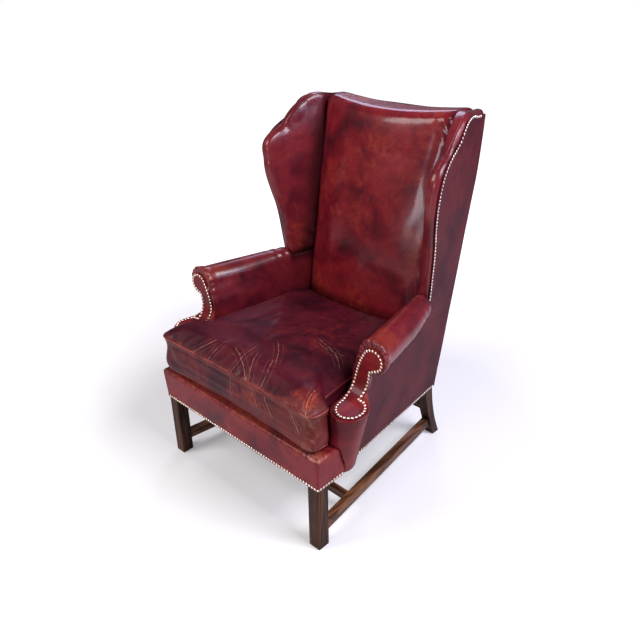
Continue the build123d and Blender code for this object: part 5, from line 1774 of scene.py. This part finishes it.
@dataclass
class Studio:
    """Camera, lamps and floor."""

    camera_at: Point = (1.32991, -1.38327, 1.48555)
    heading: float = 44.154
    pitch: float = 27.584
    roll: float = -1.129
    lens: float = 37.125
    film: float = 36.0
    lamps: tuple[SoftBox, ...] = (
        SoftBox("key", (-1.3, -2.5, 2.8), (0.0, 0.0, 0.6), 1.5, 72.0, "#fffaf6"),
        SoftBox("front", (0.5, -3.2, 1.1), (0.0, 0.0, 0.7), 0.8, 26.0, "#f6f3ff"),
        SoftBox("right", (2.1, 0.1, 2.9), (0.0, 0.0, 0.6), 1.4, 96.0, "#fbf8ff"),
        SoftBox("sky", (2.8, 1.1, 2.2), (-0.2, 0.1, 0.9), 1.6, 46.0, "#d9d4ff"),
        SoftBox("back", (-1.7, 2.2, 2.8), (0.0, 0.0, 0.7), 1.3, 26.0, "#dedaff"),
    )
    world_light: float = 0.12
    world_tint: Point = (0.97, 0.97, 1.0)
    floor_tone: Point = (0.74, 0.74, 0.7474)
    # The weaker glow near the chair paints the floor round it darker; far off the floor is white
    floor_glow: tuple[float, float] = (0.21, 1.0)
    glow_reach: tuple[float, float] = (0.75, 2.6)
    floor_radius: float = 9.0
    floor_drop: float = 0.0005

    def build(self) -> None:
        """Sets up the camera, the lamps, the world and the floor."""
        scene = bpy.context.scene
        scene.view_settings.view_transform = "Standard"
        self.camera(scene)
        for box in self.lamps:
            lamp = bpy.data.lights.new(box.name, "AREA")
            lamp.shape = "SQUARE"
            lamp.size = box.size
            lamp.energy = box.power
            lamp.color = linear(box.colour)[:3]
            thing = bpy.data.objects.new(box.name, lamp)
            thing.location = box.place
            facing = Vector(box.target) - Vector(box.place)
            thing.rotation_euler = facing.to_track_quat("-Z", "Y").to_euler()
            thing.visible_camera = False
            scene.collection.objects.link(thing)
        self.surround(scene)
        LOG.info("studio ready")

    def camera(self, scene: bpy.types.Scene) -> None:
        """Places the camera as the photograph's stood.

        Args:
            scene: the scene.
        """
        yaw, pitch, roll = (math.radians(v) for v in (self.heading, self.pitch, self.roll))
        ahead = Vector((-math.sin(yaw) * math.cos(pitch), math.cos(yaw) * math.cos(pitch), -math.sin(pitch)))
        right = Vector((math.cos(yaw), math.sin(yaw), 0))
        up = right.cross(ahead)
        level = right * math.cos(roll) + up * math.sin(roll)
        rise = up * math.cos(roll) - right * math.sin(roll)
        data = bpy.data.cameras.new("camera")
        data.lens = self.lens
        data.sensor_width = self.film
        data.sensor_fit = "HORIZONTAL"
        thing = bpy.data.objects.new("camera", data)
        turn = Matrix((level, rise, -ahead)).transposed().to_4x4()
        thing.matrix_world = Matrix.Translation(self.camera_at) @ turn
        scene.collection.objects.link(thing)
        scene.camera = thing

    def seen(self, shade: Shade) -> Socket:
        """1 where the camera looks straight or through glass, 0 for light that bounces."""
        path = shade.put("ShaderNodeLightPath")
        return shade.sum("MAXIMUM", path.outputs["Is Camera Ray"], path.outputs["Is Transmission Ray"])

    def floor(self, shade: Shade) -> dict:
        """Draws the floor: white paper that keeps its shadows and fades to the white behind; its weaker
        glow near the chair paints the floor round it darker.

        Args:
            shade: the material's tree.

        Returns:
            The shader's inputs.
        """
        reach = shade.put("ShaderNodeVectorMath", {0: shade.where()}, operation="LENGTH").outputs["Value"]
        fading = shade.span(reach, *self.glow_reach, *self.floor_glow)
        glow = shade.sum("MULTIPLY", fading, self.seen(shade))
        return {"Base Color": (*self.floor_tone, 1.0), "Roughness": 0.9, "Specular IOR Level": 0.0,
                "Emission Color": (1.0, 1.0, 1.0, 1.0), "Emission Strength": glow}

    def surround(self, scene: bpy.types.Scene) -> None:
        """Makes the white floor and the even white world.

        Args:
            scene: the scene.
        """
        world = bpy.data.worlds.new("studio_white")
        scene.world = world
        world.use_nodes = True
        shade = Shade(world.node_tree)
        dim = {"Color": (*self.world_tint, 1.0), "Strength": self.world_light}
        soft = shade.put("ShaderNodeBackground", dim)
        plain = shade.put("ShaderNodeBackground", {"Color": (1.0, 1.0, 1.0, 1.0), "Strength": 1.0})
        inputs = {0: self.seen(shade), 1: soft.outputs[0], 2: plain.outputs[0]}
        both = shade.put("ShaderNodeMixShader", inputs)
        shade.put("ShaderNodeOutputWorld", {"Surface": both.outputs[0]})
        shape = bmesh.new()
        bmesh.ops.create_circle(shape, cap_ends=True, segments=96, radius=self.floor_radius)
        mesh = bpy.data.meshes.new("floor")
        shape.to_mesh(mesh)
        shape.free()
        floor = bpy.data.objects.new("floor", mesh)
        floor.location.z = -self.floor_drop
        scene.collection.objects.link(floor)
        material = surfaced("white_paper_floor", self.floor)
        mesh.materials.append(material)


# The longest scratches: over the front edge and its right corner, by the right arm, on the left
SCRATCHES = (
    Scratch((-0.103, -0.440), (-0.080, -0.286), 0.05),
    Scratch((-0.004, -0.440), (-0.009, -0.267), -0.07),
    Scratch((0.115, -0.430), (0.027, -0.300), 0.06),
    Scratch((0.132, -0.400), (0.091, -0.302), -0.05),
    Scratch((0.077, -0.402), (0.129, -0.483), 0.05, 1.6),
    Scratch((0.139, -0.401), (0.189, -0.471), -0.05, 1.6),
    Scratch((-0.001, -0.420), (-0.005, -0.490), 0.05),
    Scratch((0.089, -0.129), (0.257, -0.201), 0.08),
    Scratch((0.117, -0.144), (0.234, -0.149), -0.09),
    Scratch((-0.208, -0.080), (-0.192, 0.012), 0.06),
    Scratch((-0.052, -0.330), (0.086, -0.408), 0.05),
    Scratch((-0.180, -0.405), (-0.120, -0.330), -0.04),
    Scratch((0.030, -0.230), (0.120, -0.330), 0.06, 1.0),
    Scratch((0.250, -0.410), (0.290, -0.480), 0.05, 1.8, 5.0),
    Scratch((0.330, -0.415), (0.290, -0.330), 0.10, 1.8, 5.0),
)


def main() -> None:
    """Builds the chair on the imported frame, then the studio round it."""
    logging.basicConfig(level=logging.INFO, format="%(message)s")
    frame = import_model()
    bench = Bench(frame)
    # The cushion is the darkest and dullest from use, the inside back the reddest and smoothest,
    # and the outside panels were never polished as much; their leather is also a darker copy,
    # which paints shade on them
    body = AntiquedLeather("oxblood_leather_antiqued").material()
    seat = AntiquedLeather("oxblood_leather_seat", deep="#22060f", body="#3a0a18", bright="#4c0f1f",
                           rubbed="#8a301e", blotch_mm=130.0, gloss=0.44, glaze=0.08, shine=0.15,
                           scratches=SCRATCHES).material()
    back = AntiquedLeather("oxblood_leather_back", body="#62101c", bright="#761922", rubbed="#a04224",
                           gloss=0.30, glaze=0.38, shine=0.16).material()
    fronts = AntiquedLeather("oxblood_leather_fronts", body="#5e111d", bright="#741a24", gloss=0.40,
                             glaze=0.16, shine=0.12).material()
    # A darker copy of the same leather paints shade on the outside panels
    flat = AntiquedLeather("oxblood_leather_outside_painted_darker", deep="#33101b", body="#47151f", bright="#531b25",
                           blotch_mm=150.0, rub_level=0.16, gloss=0.48, glaze=0.0, shine=0.10).material()
    trim = AntiquedLeather("oxblood_leather_trim", body="#6b1f27", bright="#8a3a35", rubbed="#a85a3a",
                           rub_level=0.5).material()
    Underframe().build(bench)
    SeatCushion().build(bench, seat, trim)
    BackRest().build(bench, back)
    for side in Side:
        Arm(side).build(bench, body, fronts, trim)
        Wing(side).build(bench, body, trim)
    OuterPanels().build(bench, flat, fronts)
    SeatDeck().build(bench)
    Studio().build()
    LOG.info("%d pieces made", len(bench.made))


if __name__ == "__main__":
    main()
